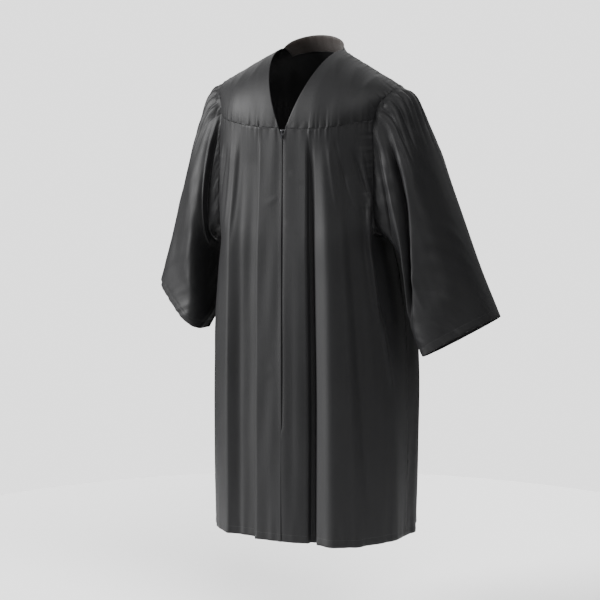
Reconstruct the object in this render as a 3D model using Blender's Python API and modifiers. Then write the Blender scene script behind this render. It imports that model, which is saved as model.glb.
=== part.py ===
"""Graduation gown, built cut piece by cut piece, filled out as on its wearer.

Run it with: blender --background --python part.py
Units are metres and +Z is up. The wearer faces -Y, so +X is the wearer's left.
The origin lies at the base of the neck, between the neck ends of the two shoulder seams.
"""

import functools
import math

import bpy
import numpy as np
from mathutils import Matrix

# Cloth
WALL = 0.0014
FACING_WALL = 0.0010
SEAM_GAP = 0.0003
MOST_MITRE = 2.0
SHARP_EDGE = math.radians(50)

# Heights
HEM = -1.210
UNDERARM = -0.460
UNDERARM_ROW_CENTRE = -0.560
YOKE_CENTRE = -0.199
YOKE_ARMHOLE = -0.176
BACK_YOKE_CENTRE = -0.172
BACK_YOKE_ARMHOLE = -0.165

# Shoulder seam and neck
NECK_POINT = np.array((0.0810, 0.0140, -0.0170))
SHOULDER_TIP = np.array((0.2394, 0.0090, -0.1025))
BACK_NECK = np.array((0.0, 0.0640, 0.0150))
NECK_STAND = 0.190
NECK_STEEPNESS = 0.45
NECK_RELAXING = 4
MIDDLE_KEPT = 0.55
V_APEX = -0.2195
CENTRE_GAP = 0.0016

# Zip
ZIP_END = -0.940
TAPE_HALF_WIDTH = 0.014
TAPE_WALL = 0.0008
TAPE_DEPTH = 0.0005
TAPE_CELLS = 13
TAPE_ABOVE_V = 0.018
SLIDER_WIDTH, SLIDER_HEIGHT, SLIDER_DEPTH = 0.0064, 0.0085, 0.0034
PULL_WIDTH, PULL_LENGTH, PULL_DEPTH = 0.0050, 0.0190, 0.0014
PULL_CLEARANCE = 0.0006
SLIDER_ABOVE_V = 0.0085
METAL_ROUNDING = 0.0006

# Cells of the grids. Pieces that meet at a seam share the cells along it.
YOKE_ROWS = 8
FADE_ROWS = 3
ARMHOLE_ROWS = 11
SKIRT_ROWS = 10
SLEEVE_ROWS = 15
NECK_CELLS = 8
FACING_ROWS = 2

# Half the gown's outline at each height: a superellipse from the front to the back
SECTION = ("height", "half_width", "front", "side", "back", "squareness")
BODY_SECTIONS = (
    (-0.100, 0.215, -0.140, 0.012, 0.118, 2.5),
    (-0.176, 0.224, -0.149, 0.012, 0.128, 2.6),
    (-0.250, 0.230, -0.151, 0.012, 0.140, 2.6),
    (-0.310, 0.232, -0.152, 0.014, 0.150, 2.6),
    (-0.380, 0.231, -0.154, 0.017, 0.162, 2.7),
    (-0.425, 0.224, -0.155, 0.020, 0.171, 3.0),
    (-0.460, 0.212, -0.156, 0.022, 0.178, 3.4),
    (-0.550, 0.226, -0.157, 0.027, 0.190, 3.1),
    (-0.650, 0.240, -0.158, 0.031, 0.202, 2.9),
    (-0.800, 0.249, -0.158, 0.033, 0.212, 2.8),
    (-1.000, 0.251, -0.159, 0.034, 0.219, 2.7),
    (-1.210, 0.249, -0.160, 0.034, 0.223, 2.6),
)

# Where the armhole seam cuts the body, front and back
ARMHOLE = ("height", "out")
ARMHOLE_LINE = (
    (-0.1025, 0.2394),
    (-0.140, 0.2140),
    (-0.176, 0.2060),
    (-0.250, 0.2070),
    (-0.350, 0.2090),
    (-0.460, 0.2120),
)

# Folds of each panel. A row is a crest or a floor of the fluting, followed at four heights: its
# distance along the cloth from the centre line, then how far it stands out of the plain section.
# "crisp" marks a pressed edge, and "soft" a rounded one. cells is the number of grid cells
# between this row and the next.
FOLD_HEIGHTS = (-0.199, -0.460, -0.800, -1.210)
FOLD = ("name", "along", "out", "edge", "cells")
FRONT_LEFT_FOLDS = (
    ("band middle", (0.034, 0.035, 0.036, 0.036), (0.000, 0.001, 0.001, 0.001), "soft", 1),
    ("band edge", (0.067, 0.071, 0.075, 0.076), (0.001, 0.003, 0.005, 0.005), "crisp", 1),
    ("recess wall", (0.070, 0.076, 0.080, 0.082), (-0.003, -0.011, -0.015, -0.017), "crisp", 1),
    ("recess floor", (0.080, 0.086, 0.091, 0.095), (-0.003, -0.013, -0.018, -0.021), "soft", 3),
    ("bright fold", (0.100, 0.114, 0.120, 0.124), (0.001, 0.006, 0.010, 0.012), "soft", 3),
    ("valley", (0.134, 0.158, 0.180, 0.222), (0.000, -0.005, -0.009, -0.010), "soft", 2),
    ("middle fold", (0.156, 0.184, 0.215, 0.262), (0.001, 0.004, 0.005, 0.006), "soft", 2),
    ("outer valley", (0.180, 0.208, 0.252, 0.292), (0.000, -0.006, -0.007, -0.007), "soft", 2),
    ("underarm ridge", (0.205, 0.236, 0.300, 0.326), (0.001, 0.004, 0.005, 0.006), "soft", 2),
)
FRONT_RIGHT_FOLDS = (
    ("band middle", (0.032, 0.033, 0.033, 0.033), (0.000, 0.001, 0.001, 0.001), "soft", 1),
    ("band edge", (0.062, 0.064, 0.066, 0.067), (0.001, 0.003, 0.004, 0.005), "crisp", 1),
    ("recess wall", (0.065, 0.069, 0.072, 0.073), (-0.002, -0.008, -0.011, -0.012), "crisp", 1),
    ("recess floor", (0.082, 0.094, 0.100, 0.102), (-0.003, -0.008, -0.010, -0.011), "soft", 2),
    ("recess rise", (0.112, 0.128, 0.138, 0.140), (-0.001, -0.004, -0.005, -0.005), "soft", 2),
    ("pressed crease", (0.142, 0.160, 0.167, 0.168), (0.001, 0.004, 0.006, 0.006), "crisp", 2),
    ("bright panel", (0.165, 0.186, 0.205, 0.212), (0.000, -0.003, -0.003, -0.002), "soft", 2),
    ("side fold", (0.185, 0.212, 0.248, 0.262), (0.001, 0.003, 0.004, 0.005), "soft", 2),
    ("side valley", (0.205, 0.234, 0.290, 0.312), (0.000, -0.003, -0.006, -0.007), "soft", 2),
)
# The back's rows run from the wearer's left edge to the right one, about the centre back.
BACK_FOLDS = (
    ("left side fold", (0.198, 0.226, 0.282, 0.320), (0.001, 0.004, 0.006, 0.008), "soft", 2),
    ("left side valley", (0.172, 0.196, 0.238, 0.272), (0.000, -0.006, -0.010, -0.010), "soft", 2),
    ("left outer fold", (0.144, 0.166, 0.196, 0.222), (0.001, 0.005, 0.010, 0.011), "soft", 2),
    ("left outer valley", (0.118, 0.134, 0.158, 0.176), (0.000, -0.008, -0.013, -0.012), "soft", 2),
    ("left inner fold", (0.088, 0.102, 0.118, 0.134), (0.001, 0.006, 0.010, 0.013), "soft", 2),
    ("left inner valley", (0.060, 0.068, 0.078, 0.088), (0.000, -0.007, -0.012, -0.013), "soft", 2),
    ("left centre fold", (0.030, 0.034, 0.040, 0.044), (0.001, 0.005, 0.009, 0.010), "soft", 2),
    ("centre valley", (0.002, 0.000, -0.004, -0.004), (0.000, -0.004, -0.008, -0.009), "soft", 2),
    ("right centre fold", (-0.028, -0.034, -0.044, -0.050), (0.001, 0.005, 0.010, 0.012), "soft", 2),
    ("right inner valley", (-0.056, -0.066, -0.082, -0.096), (0.000, -0.007, -0.013, -0.012), "soft", 2),
    ("right inner fold", (-0.086, -0.100, -0.120, -0.140), (0.001, 0.006, 0.011, 0.012), "soft", 2),
    ("right outer valley", (-0.116, -0.132, -0.158, -0.180), (0.000, -0.008, -0.012, -0.012), "soft", 2),
    ("right outer fold", (-0.146, -0.168, -0.200, -0.228), (0.001, 0.005, 0.010, 0.010), "soft", 2),
    ("right side valley", (-0.172, -0.198, -0.240, -0.274), (0.000, -0.006, -0.009, -0.010), "soft", 2),
    ("right side fold", (-0.198, -0.226, -0.284, -0.322), (0.001, 0.004, 0.006, 0.007), "soft", 2),
)

# The sleeve's rings, from just outside the armhole to the cuff. travel is the share of the way
# along the sleeve. top and under are the upper fold and the underarm seam.
RING = ("travel", "top_x", "top_y", "top_z", "under_x", "under_y", "under_z", "front", "back", "power")
SLEEVE_RINGS = (
    (0.00, 0.2394, 0.009, -0.1025, 0.2120, 0.022, -0.460, 0.100, 0.120, 2.0),
    (0.08, 0.2700, 0.012, -0.1270, 0.2380, 0.020, -0.476, 0.104, 0.122, 2.0),
    (0.18, 0.2950, 0.018, -0.1930, 0.2580, 0.014, -0.506, 0.104, 0.118, 2.0),
    (0.36, 0.3300, 0.030, -0.2980, 0.2760, 0.006, -0.572, 0.100, 0.108, 2.0),
    (0.56, 0.3720, 0.044, -0.4140, 0.2860, -0.002, -0.638, 0.092, 0.098, 2.0),
    (0.78, 0.4190, 0.062, -0.5420, 0.2990, -0.010, -0.697, 0.084, 0.088, 2.0),
    (1.00, 0.4640, 0.080, -0.6540, 0.3220, -0.018, -0.743, 0.078, 0.080, 2.0),
)

# The sleeve's measures: how its rings crowd towards the armhole, and how fast they leave its
# outline behind
SLEEVE_CROWDING = 1.25
EVEN_TURNS_BY = 0.50
SETTLED_BY = 0.30
ARMHOLE_HALF_DEPTH = 0.110
ARMHOLE_HALF_HEIGHT = 0.178

# The wearer's right sleeve hangs a little higher and nearer the body at its cuff.
RIGHT_CUFF_TOP_SHIFT = np.array((-0.014, -0.006, 0.054))
RIGHT_CUFF_UNDER_SHIFT = np.array((-0.042, -0.012, 0.024))
CUFF_SHIFT_POWER = 1.5

# Folds of the sleeves. turn is the place round the ring, in degrees: 0 at the upper fold, 90 at
# the front, 180 at the underarm and 270 at the back, at the fold's start and at its end. start
# and end are shares of the way along the sleeve, and out is the height, below 0 for a groove.
SLEEVE_FOLD = ("name", "turn_start", "turn_end", "width", "start", "end", "out")
SLEEVE_LEFT_FOLDS = (
    ("front tube fold", 104, 128, 15, 0.02, 0.88, 0.014),
    ("front deep groove", 82, 98, 13, 0.06, 0.96, -0.016),
    ("front inner groove", 126, 150, 13, 0.00, 0.60, -0.010),
    ("front smooth swell", 52, 62, 24, 0.12, 1.10, 0.008),
    ("upper front groove", 34, 28, 16, 0.04, 0.55, -0.005),
    ("cuff front wave", 78, 78, 16, 0.66, 1.20, 0.005),
    ("back tube fold", 250, 232, 16, 0.02, 0.90, 0.013),
    ("back deep groove", 276, 262, 14, 0.05, 0.98, -0.014),
    ("back smooth swell", 304, 298, 22, 0.12, 1.10, 0.008),
    ("back inner groove", 226, 206, 13, 0.00, 0.60, -0.009),
)
SLEEVE_RIGHT_FOLDS = (
    ("front ridge", 66, 88, 13, 0.05, 0.62, 0.012),
    ("front second ridge", 92, 112, 12, 0.03, 0.50, 0.012),
    ("valley between them", 79, 100, 11, 0.06, 0.60, -0.012),
    ("front outer groove", 50, 66, 15, 0.06, 0.80, -0.009),
    ("cuff front wave", 96, 96, 16, 0.60, 1.20, -0.006),
    ("cuff second wave", 62, 62, 16, 0.60, 1.20, 0.006),
    ("back tube fold", 254, 236, 16, 0.02, 0.92, 0.012),
    ("back deep groove", 280, 266, 14, 0.05, 0.98, -0.014),
    ("back inner groove", 228, 210, 13, 0.00, 0.60, -0.009),
    ("back smooth swell", 308, 302, 22, 0.12, 1.10, 0.007),
)

# How much of the way along the sleeve a fold takes to rise and to fade
FOLD_RISE = 0.14
FOLD_FADE = 0.25

# Gathers of the sleeve cap, counted over the part of the armhole that the yokes hold
CAP_GATHERS = 9
CAP_GATHER_DEPTH = 0.0035
CAP_GATHER_RISE = 0.05
CAP_GATHER_FADE = 0.20
CAP_GATHER_REACH = 0.26
CAP_TURN = math.radians(62)
CAP_TURN_EDGE = math.radians(12)

# Colours as linear red, green and blue, with roughness and metallic value
CLOTH_COLOUR = (0.016, 0.016, 0.017)
FACING_COLOUR = (0.045, 0.040, 0.036)
TAPE_COLOUR = (0.010, 0.010, 0.011)
ZIP_COLOUR = (0.020, 0.020, 0.022)


def named_column(table, names, name):
    """One column of a table as an array."""
    return np.array([row[names.index(name)] for row in table], dtype=float)


def smooth(at, places, values):
    """The value at a place, on a cubic through all the values. places run upwards."""
    places = np.asarray(places, dtype=float)
    values = np.asarray(values, dtype=float)
    slopes = np.gradient(values, places)
    at = np.clip(at, places[0], places[-1])
    cell = np.clip(np.searchsorted(places, at, side="right") - 1, 0, len(places) - 2)
    width = places[cell + 1] - places[cell]
    t = (at - places[cell]) / width
    rise = values[cell + 1] - values[cell]
    start = slopes[cell] * width
    end = slopes[cell + 1] * width
    return values[cell] + t * start + t * t * (3 * rise - 2 * start - end) + t**3 * (start + end - 2 * rise)


def by_height(height, table, names, name):
    """A column of a table whose heights run downwards, at one height."""
    return smooth(-height, -named_column(table, names, "height"), named_column(table, names, name))


def armhole_out(height):
    """How far from the centre plane the armhole seam lies at one height."""
    return by_height(height, ARMHOLE_LINE, ARMHOLE, "out")


@functools.cache
def section(height, steps=180):
    """Half the outline at a height, from centre front by the side to centre back.

    Returns its points, their distances along it and the outward directions.
    """
    half_width, front, side, back, power = (
        by_height(height, BODY_SECTIONS, SECTION, name) for name in SECTION[1:]
    )
    turn = np.linspace(0, math.pi, 2 * steps + 1)
    across = half_width * np.clip(np.sin(turn), 0, 1) ** (2 / power)
    reach = np.abs(np.cos(turn)) ** (2 / power)
    along = side + np.where(turn <= math.pi / 2, (front - side) * reach, (back - side) * reach)
    points = np.stack([across, along], axis=1)
    run = np.concatenate([[0], np.cumsum(np.hypot(*np.diff(points, axis=0).T))])
    tangent = np.gradient(points, axis=0)
    out = np.stack([tangent[:, 1], -tangent[:, 0]], axis=1)
    out[0] = (0, -1)
    out[-1] = (0, 1)
    return points, run, out / np.linalg.norm(out, axis=1, keepdims=True)


def on_section(height, distance, out_by, from_back):
    """The point at a distance from the centre front, or the centre back, moved outwards."""
    points, run, out = section(height)
    at = run[-1] - distance if from_back else distance
    across, along = (np.interp(at, run, points[:, axis]) for axis in (0, 1))
    out_x, out_y = (np.interp(at, run, out[:, axis]) for axis in (0, 1))
    return np.array((across + out_by * out_x, along + out_by * out_y, height))


def edge_distance(height, from_back):
    """The distance from the centre line to the armhole seam, or to the side seam below it."""
    points, run, _ = section(height)
    side = len(run) // 2
    if height <= UNDERARM:
        reach = run[side]
    elif from_back:
        reach = np.interp(armhole_out(height), points[side:, 0][::-1], run[side:][::-1])
    else:
        reach = np.interp(armhole_out(height), points[: side + 1, 0], run[: side + 1])
    return run[-1] - reach if from_back else reach


def eased(share, from_edge, to_edge):
    """A share of the way between two folds, slow at a soft one and straight at a crisp one."""
    start = 0.0 if from_edge == "soft" else 1.0
    end = 0.0 if to_edge == "soft" else 1.0
    return share * start + share**2 * (3 - 2 * start - end) + share**3 * (start + end - 2)


def fold_row(folds, height, first_edge, last_edge):
    """The folds of one panel at a height, as (distances, heights outwards, edges, cells)."""
    heights = -np.array(FOLD_HEIGHTS)
    distances, outs, edges, cells = [first_edge], [0.0], ["soft"], [2]
    for _, along, out, edge, count in folds:
        distances.append(float(smooth(-height, heights, along)))
        outs.append(float(smooth(-height, heights, out)))
        edges.append(edge)
        cells.append(count)
    distances.append(last_edge)
    outs.append(0.0)
    edges.append("soft")
    return distances, outs, edges, cells


def across_panel(folds, height, first_edge, last_edge):
    """Each column's distance from the centre line and its height outwards, at one height."""
    distances, outs, edges, cells = fold_row(folds, height, first_edge, last_edge)
    found = []
    for k, count in enumerate(cells):
        for cell in range(count):
            share = cell / count
            rise = eased(share, edges[k], edges[k + 1])
            found.append(
                (
                    distances[k] + share * (distances[k + 1] - distances[k]),
                    outs[k] + rise * (outs[k + 1] - outs[k]),
                )
            )
    found.append((distances[-1], outs[-1]))
    return found


def smoothstep(value):
    """0 below 0, 1 above 1, and a soft rise between."""
    value = np.clip(value, 0, 1)
    return value * value * (3 - 2 * value)


@functools.cache
def armhole_heights(seam_height, from_back):
    """Heights that part the armhole seam, from the yoke to the underarm, into equal lengths."""
    shares = np.linspace(1, 0, 161) ** 3
    heights = UNDERARM + (seam_height - UNDERARM) * shares
    line = np.array([on_section(z, edge_distance(z, from_back), 0.0, from_back) for z in heights])
    run = np.concatenate([[0], np.cumsum(np.linalg.norm(np.diff(line, axis=0), axis=1))])
    return np.interp(np.linspace(0, run[-1], ARMHOLE_ROWS + 1), run, heights)


def row_height(row, seam_height, nearness, at_edge):
    """A panel row's height. It falls from the armhole, where nearness is 1, to the panel's middle."""
    if row > ARMHOLE_ROWS:
        share = (row - ARMHOLE_ROWS) / SKIRT_ROWS
        edge = UNDERARM + (HEM - UNDERARM) * share
        middle = UNDERARM_ROW_CENTRE + (HEM - UNDERARM_ROW_CENTRE) * share
    else:
        edge = at_edge[row]
        middle = seam_height + (UNDERARM_ROW_CENTRE - seam_height) * row / ARMHOLE_ROWS
    return seam_height if row == 0 else middle + (edge - middle) * nearness


def seam_fade(row):
    """Folds start flat at the yoke seam and are whole from the third row on."""
    return float(smoothstep(row / FADE_ROWS))


def front_panel(folds, side):
    """A front panel's grid, from the centre front to the armhole and side seam."""
    rows = []
    for row in range(ARMHOLE_ROWS + SKIRT_ROWS + 1):
        count = len(across_panel(folds, HEM, 0.0, 1.0)) - 1
        points = []
        for column in range(count + 1):
            share = column / count
            seam = YOKE_CENTRE + (YOKE_ARMHOLE - YOKE_CENTRE) * share**2
            if column == 0:
                seam = V_APEX
            height = row_height(row, seam, share**3, armhole_heights(YOKE_ARMHOLE, False))
            edge = edge_distance(height, False)
            distance, out = across_panel(folds, height, CENTRE_GAP / 2, edge)[column]
            if row == 0 and column == 1:
                distance = neck_half_width(seam)
            points.append(on_section(height, distance, out * seam_fade(row), False))
        rows.append(points)
    grid = np.array(rows)
    return grid if side > 0 else mirrored(grid)


def back_panel():
    """The back's grid, from the wearer's left side by the centre back to the right side."""
    rows = []
    for row in range(ARMHOLE_ROWS + SKIRT_ROWS + 1):
        count = len(across_panel(BACK_FOLDS, HEM, 1.0, -1.0)) - 1
        points = []
        for column in range(count + 1):
            off_centre = abs(2 * column / count - 1)
            seam = BACK_YOKE_CENTRE + (BACK_YOKE_ARMHOLE - BACK_YOKE_CENTRE) * off_centre**2
            at_edge = armhole_heights(BACK_YOKE_ARMHOLE, True)
            height = row_height(row, seam, off_centre**3, at_edge)
            edge = edge_distance(height, True)
            distance, out = across_panel(BACK_FOLDS, height, edge, -edge)[column]
            point = on_section(height, abs(distance), out * seam_fade(row), True)
            points.append(point * (math.copysign(1, distance), 1, 1))
        rows.append(points)
    return np.array(rows)


def mirrored(grid):
    """The grid on the other side of the centre plane, its columns turned so that it faces out."""
    return grid[:, ::-1] * np.array((-1, 1, 1))


def neck_half_width(height):
    """The V's half width at a height: straight from the neck points down to the zip."""
    share = (height - V_APEX) / (NECK_POINT[2] - V_APEX)
    return CENTRE_GAP / 2 + share * (NECK_POINT[0] - CENTRE_GAP / 2)


def draped_over(top, bottom, steepness=0.0, cut_off=0.0):
    """Rows from a shoulder line down to a yoke seam.

    Each column is a quarter of an ellipse at steepness 0, and a straight fall at 1. cut_off is
    the share of the ellipse's depth that the neck has cut away.
    """
    rows = []
    start = np.arcsin(cut_off)
    for row in range(YOKE_ROWS + 1):
        share = row / YOKE_ROWS
        turn = start + (math.pi / 2 - start) * share
        down = np.cos(turn) / np.cos(start) * (1 - steepness) + (1 - share) * steepness
        away = (np.sin(turn) - cut_off) / (1 - cut_off) * (1 - steepness) + share * steepness
        points = np.empty_like(top)
        points[:, 1] = top[:, 1] + (bottom[:, 1] - top[:, 1]) * away
        points[:, 2] = bottom[:, 2] + (top[:, 2] - bottom[:, 2]) * down
        points[:, 0] = bottom[:, 0] + (top[:, 0] - bottom[:, 0]) * down
        rows.append(points)
    return np.array(rows)


def at_armhole(grid, column):
    """The yoke's outer column drawn onto the armhole line, and those near it part of the way."""
    for row in grid[1:-1]:
        edge = row[column, 0]
        shift = armhole_out(row[column, 2]) * math.copysign(1, edge) - edge
        nearness = np.clip((row[:, 0] / edge - MIDDLE_KEPT) / (1 - MIDDLE_KEPT), 0, 1) ** 2
        row[:, 0] += shift * nearness
    return grid


def relaxed(grid, passes):
    """The grid with its inner points drawn towards their neighbours, pass by pass."""
    for _ in range(passes):
        mean = (grid[:-2, 1:-1] + grid[2:, 1:-1] + grid[1:-1, :-2] + grid[1:-1, 2:]) / 4
        grid[1:-1, 1:-1] = (grid[1:-1, 1:-1] + mean) / 2
    return grid


def front_yoke(panel, side):
    """A front yoke, whose lower edge is its panel's upper one without the V's tip."""
    bottom = (panel if side > 0 else mirrored(panel))[0, 1:]
    shares = np.linspace(0, 1, len(bottom))[:, None]
    top = NECK_POINT + (SHOULDER_TIP - NECK_POINT) * shares
    grid = at_armhole(draped_over(top, bottom), len(bottom) - 1)
    return grid if side > 0 else mirrored(grid)


def back_yoke(panel):
    """The back yoke, from the left armhole over the back neck to the right one."""
    bottom = panel[0]
    count = len(bottom) - 1
    shoulder_cells = (count - NECK_CELLS) // 2
    top = []
    for column in range(count + 1):
        from_left = min(column, count - column)
        sign = 1 if column <= count / 2 else -1
        if from_left <= shoulder_cells:
            point = SHOULDER_TIP + (NECK_POINT - SHOULDER_TIP) * (from_left / shoulder_cells)
        else:
            turn = (from_left - shoulder_cells) / (count / 2 - shoulder_cells) * math.pi / 2
            across, rise = math.cos(turn), math.sin(turn)
            point = np.array((NECK_POINT[0] * across, 0.0, 0.0))
            point[1:] = NECK_POINT[1:] + (BACK_NECK[1:] - NECK_POINT[1:]) * rise
        top.append(point * (sign, 1, 1))
    top = np.array(top)
    steepness = NECK_STEEPNESS * smoothstep((NECK_STAND - np.abs(top[:, 0])) / NECK_STAND)
    cut_off = np.clip((top[:, 1] - NECK_POINT[1]) / (bottom[:, 1] - NECK_POINT[1]), 0, 1)
    grid = draped_over(top, bottom, steepness, cut_off)
    grid = at_armhole(at_armhole(grid, 0), count)
    return relaxed(grid, NECK_RELAXING)


def by_travel(travel, name):
    """A column of the sleeve's rings, at one share of the way along it."""
    return smooth(travel, named_column(SLEEVE_RINGS, RING, "travel"), named_column(SLEEVE_RINGS, RING, name))


def sleeve_ring(travel, turns):
    """A ring of the sleeve at a share of its length, with its outward directions."""
    top, under = (
        np.array([by_travel(travel, name + axis) for axis in ("_x", "_y", "_z")])
        for name in ("top", "under")
    )
    front, back, power = (by_travel(travel, name) for name in ("front", "back", "power"))
    middle, half = (top + under) / 2, (top - under) / 2
    cosine, sine = np.cos(turns), np.sin(turns)
    depth = np.where(sine > 0, front, back)
    along = np.sign(cosine) * np.abs(cosine) ** (2 / power)
    aside = -np.sign(sine) * np.abs(sine) ** (2 / power) * depth
    points = middle + along[:, None] * half + aside[:, None] * np.array((0, 1, 0))
    out = cosine[:, None] * half / np.linalg.norm(half) - sine[:, None] * np.array((0, 1, 0))
    return points, out / np.linalg.norm(out, axis=1, keepdims=True)


def fold_shape(turns, travel, folds):
    """How far the sleeve's folds stand out at one share of its length."""
    total = np.zeros_like(turns)
    for _, turn_start, turn_end, width, start, end, out in folds:
        share = np.clip((travel - start) / (end - start), 0, 1)
        middle = math.radians(turn_start + (turn_end - turn_start) * share)
        gap = (turns - middle + math.pi) % (2 * math.pi) - math.pi
        rise = smoothstep((travel - start) / FOLD_RISE) * smoothstep((end - travel) / FOLD_FADE)
        total += out * rise * np.exp(-((gap / math.radians(width)) ** 2))
    return total


def cap_gathers(turns, travel):
    """The small gathers of the sleeve cap, which fade along the sleeve."""
    gap = (turns + math.pi) % (2 * math.pi) - math.pi
    inside = smoothstep((CAP_TURN - np.abs(gap)) / CAP_TURN_EDGE)
    fade = smoothstep(travel / CAP_GATHER_RISE)
    fade *= smoothstep((CAP_GATHER_REACH - travel) / CAP_GATHER_FADE)
    return CAP_GATHER_DEPTH * np.cos(gap / CAP_TURN * CAP_GATHERS * math.pi) * inside * fade


def sleeve(loop, folds, side):
    """A sleeve's grid: rings of points from the armhole loop to the cuff.

    The loop and the rings run from the shoulder tip by the back to the underarm and the front.
    """
    count = len(loop)
    centre = loop.mean(axis=0)
    aside = -(loop[:, 1] - centre[1]) / ARMHOLE_HALF_DEPTH
    upwards = (loop[:, 2] - centre[2]) / ARMHOLE_HALF_HEIGHT
    turns = np.arctan2(aside, upwards)
    turns[0] = 0.0
    even = -np.arange(count) / count * 2 * math.pi
    lag = (turns - even + math.pi) % (2 * math.pi) - math.pi
    rows = []
    for row in range(SLEEVE_ROWS + 1):
        travel = (row / SLEEVE_ROWS) ** SLEEVE_CROWDING
        at = even + lag * (1 - smoothstep(travel / EVEN_TURNS_BY))
        ring, out = sleeve_ring(travel, at)
        start, _ = sleeve_ring(0.0, at)
        carried = loop + (ring - start)
        settled = smoothstep(travel / SETTLED_BY)
        points = carried * (1 - settled) + ring * settled
        rise = fold_shape(at, travel, folds) + cap_gathers(at, travel)
        points += out * (rise * min(1, row))[:, None]
        if side < 0:
            upper = ((1 + np.cos(at)) / 2)[:, None]
            shift = upper * RIGHT_CUFF_TOP_SHIFT + (1 - upper) * RIGHT_CUFF_UNDER_SHIFT
            points += shift * travel**CUFF_SHIFT_POWER
        rows.append(points)
    grid = np.array(rows)
    return grid if side > 0 else mirrored(grid)


def armhole_loop(yoke, panel, back_yoke_grid, back, side):
    """The armhole's points, from the shoulder tip by the back to the underarm and the front."""
    if side < 0:
        yoke, panel, back_yoke_grid, back = (mirrored(grid) for grid in (yoke, panel, back_yoke_grid, back))
    behind = np.concatenate([back_yoke_grid[:, 0], back[1 : ARMHOLE_ROWS + 1, 0]])
    before = np.concatenate([yoke[1:, -1], panel[1:ARMHOLE_ROWS, -1]])
    return np.concatenate([behind, before[::-1]])


def steps_of(grid, wraps):
    """The directions down the rows and along the columns, at each point."""
    down = np.gradient(grid, axis=0)
    if wraps:
        across = (np.roll(grid, -1, axis=1) - np.roll(grid, 1, axis=1)) / 2
    else:
        across = np.gradient(grid, axis=1)
    return down, across


def unit(vectors):
    """The vectors at length 1."""
    return vectors / np.linalg.norm(vectors, axis=-1, keepdims=True)


def outward(grid, wraps):
    """Which way each point of a grid faces."""
    down, across = steps_of(grid, wraps)
    return unit(np.cross(down, across))


def place_key(point):
    """A point's place to a hundredth of a millimetre, by which pieces find a shared seam point."""
    return tuple(int(round(value * 1e5)) for value in point)


class Piece:
    """A cut piece of cloth: a grid of points on its outer face, and which edges are sewn."""

    def __init__(self, name, grid, sewn, wraps=False):
        self.name = name
        self.grid = grid
        self.sewn = sewn
        self.wraps = wraps
        self.out = outward(grid, wraps)

    def edges(self):
        """Each sewn stretch of edge as (places in the grid, direction into the piece)."""
        rows, columns = self.grid.shape[:2]
        for edge, first, last in self.sewn:
            if edge in ("top", "bottom"):
                row, inner = (0, 1) if edge == "top" else (rows - 1, rows - 2)
                stop = columns if last is None else last + 1
                yield [((row, j), (inner, j)) for j in range(first, stop)]
            else:
                column, inner = (0, 1) if edge == "start" else (columns - 1, columns - 2)
                stop = rows if last is None else last + 1
                yield [((i, column), (i, inner)) for i in range(first, stop)]


def shared_directions(pieces):
    """At each seam point, the mitre of the pieces that meet there and how many they are.

    A mitre is a direction outwards and how much longer than the wall its slant is. A sleeve
    leans it as much as all the body's pieces there together.
    """
    found = {}
    for piece in pieces:
        seen = set()
        for edge in piece.edges():
            for place, _ in edge:
                if place not in seen:
                    seen.add(place)
                    facing = (piece.out[place], piece.wraps)
                    found.setdefault(place_key(piece.grid[place]), []).append(facing)
    shared = {}
    for key, facings in found.items():
        count = len(facings)
        direction = unit(sum(out * (max(1, count - 1) if wraps else 1) for out, wraps in facings))
        lean = sum(float(np.dot(direction, out)) for out, _ in facings) / count
        shared[key] = (direction, min(MOST_MITRE, 1 / lean), count)
    return shared


def faces_of_piece(piece, shared, wall, shoulder_out):
    """The outer and inner points of a piece, its sewn edges leaned to the mitre and drawn back."""
    outer = piece.grid.copy()
    directions = piece.out.copy()
    depth = np.full(outer.shape[:2], wall)
    for edge in piece.edges():
        for place, _ in edge:
            direction, slant, count = shared[place_key(piece.grid[place])]
            if count == 1:
                direction = shoulder_out * (math.copysign(1, piece.grid[place][0]), 1, 1)
            directions[place] = direction
            depth[place] = wall * slant
    moves = np.zeros_like(outer)
    for edge in piece.edges():
        places = [place for place, _ in edge]
        line = unit(np.gradient(np.array([piece.grid[place] for place in places]), axis=0))
        for (place, inner), along in zip(edge, line):
            into = piece.grid[inner] - piece.grid[place]
            into -= np.dot(into, along) * along
            into -= np.dot(into, directions[place]) * directions[place]
            moves[place] += unit(into) * SEAM_GAP / 2
    outer += moves
    return outer, outer - directions * depth[:, :, None]


def rim(ends, keys, size):
    """The two triangles that close a wall between two neighbouring edge points.

    Two pieces that meet at a seam split their rims along the same diagonal, picked by place.
    """
    here, there = ends
    if keys[here] > keys[there]:
        return [(here, there, there + size), (here, there + size, here + size)]
    return [(here, there, here + size), (there, there + size, here + size)]


def build_sheet(name, grid, outer, inner, wraps, material):
    """A closed solid between two grids of points, whose seams keep to the points of a third.

    The wall isn't a Solidify modifier, because pieces that meet at a seam lean their edges to
    one shared mitre there.
    """
    rows, columns = outer.shape[:2]
    size = rows * columns
    across = columns if wraps else columns - 1
    faces = []
    for i in range(rows - 1):
        for j in range(across):
            here, right = i * columns + j, i * columns + (j + 1) % columns
            faces.append((here, here + columns, right + columns))
            faces.append((here, right + columns, right))
    faces += [tuple(corner + size for corner in reversed(face)) for face in faces]
    keys = [place_key(point) for point in grid.reshape(-1, 3)]
    for j in range(across):
        right = (j + 1) % columns
        last = (rows - 1) * columns
        faces += rim((j, right), keys, size)
        faces += rim((last + right, last + j), keys, size)
    if not wraps:
        for i in range(rows - 1):
            start, end = i * columns, i * columns + columns - 1
            faces += rim((start + columns, start), keys, size)
            faces += rim((end, end + columns), keys, size)
    points = np.concatenate([outer.reshape(-1, 3), inner.reshape(-1, 3)])
    mesh = bpy.data.meshes.new(name)
    mesh.from_pydata(points.tolist(), [], faces)
    mesh.shade_smooth()
    mesh.set_sharp_from_angle(angle=SHARP_EDGE)
    return add_object(name, mesh, material)


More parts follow.
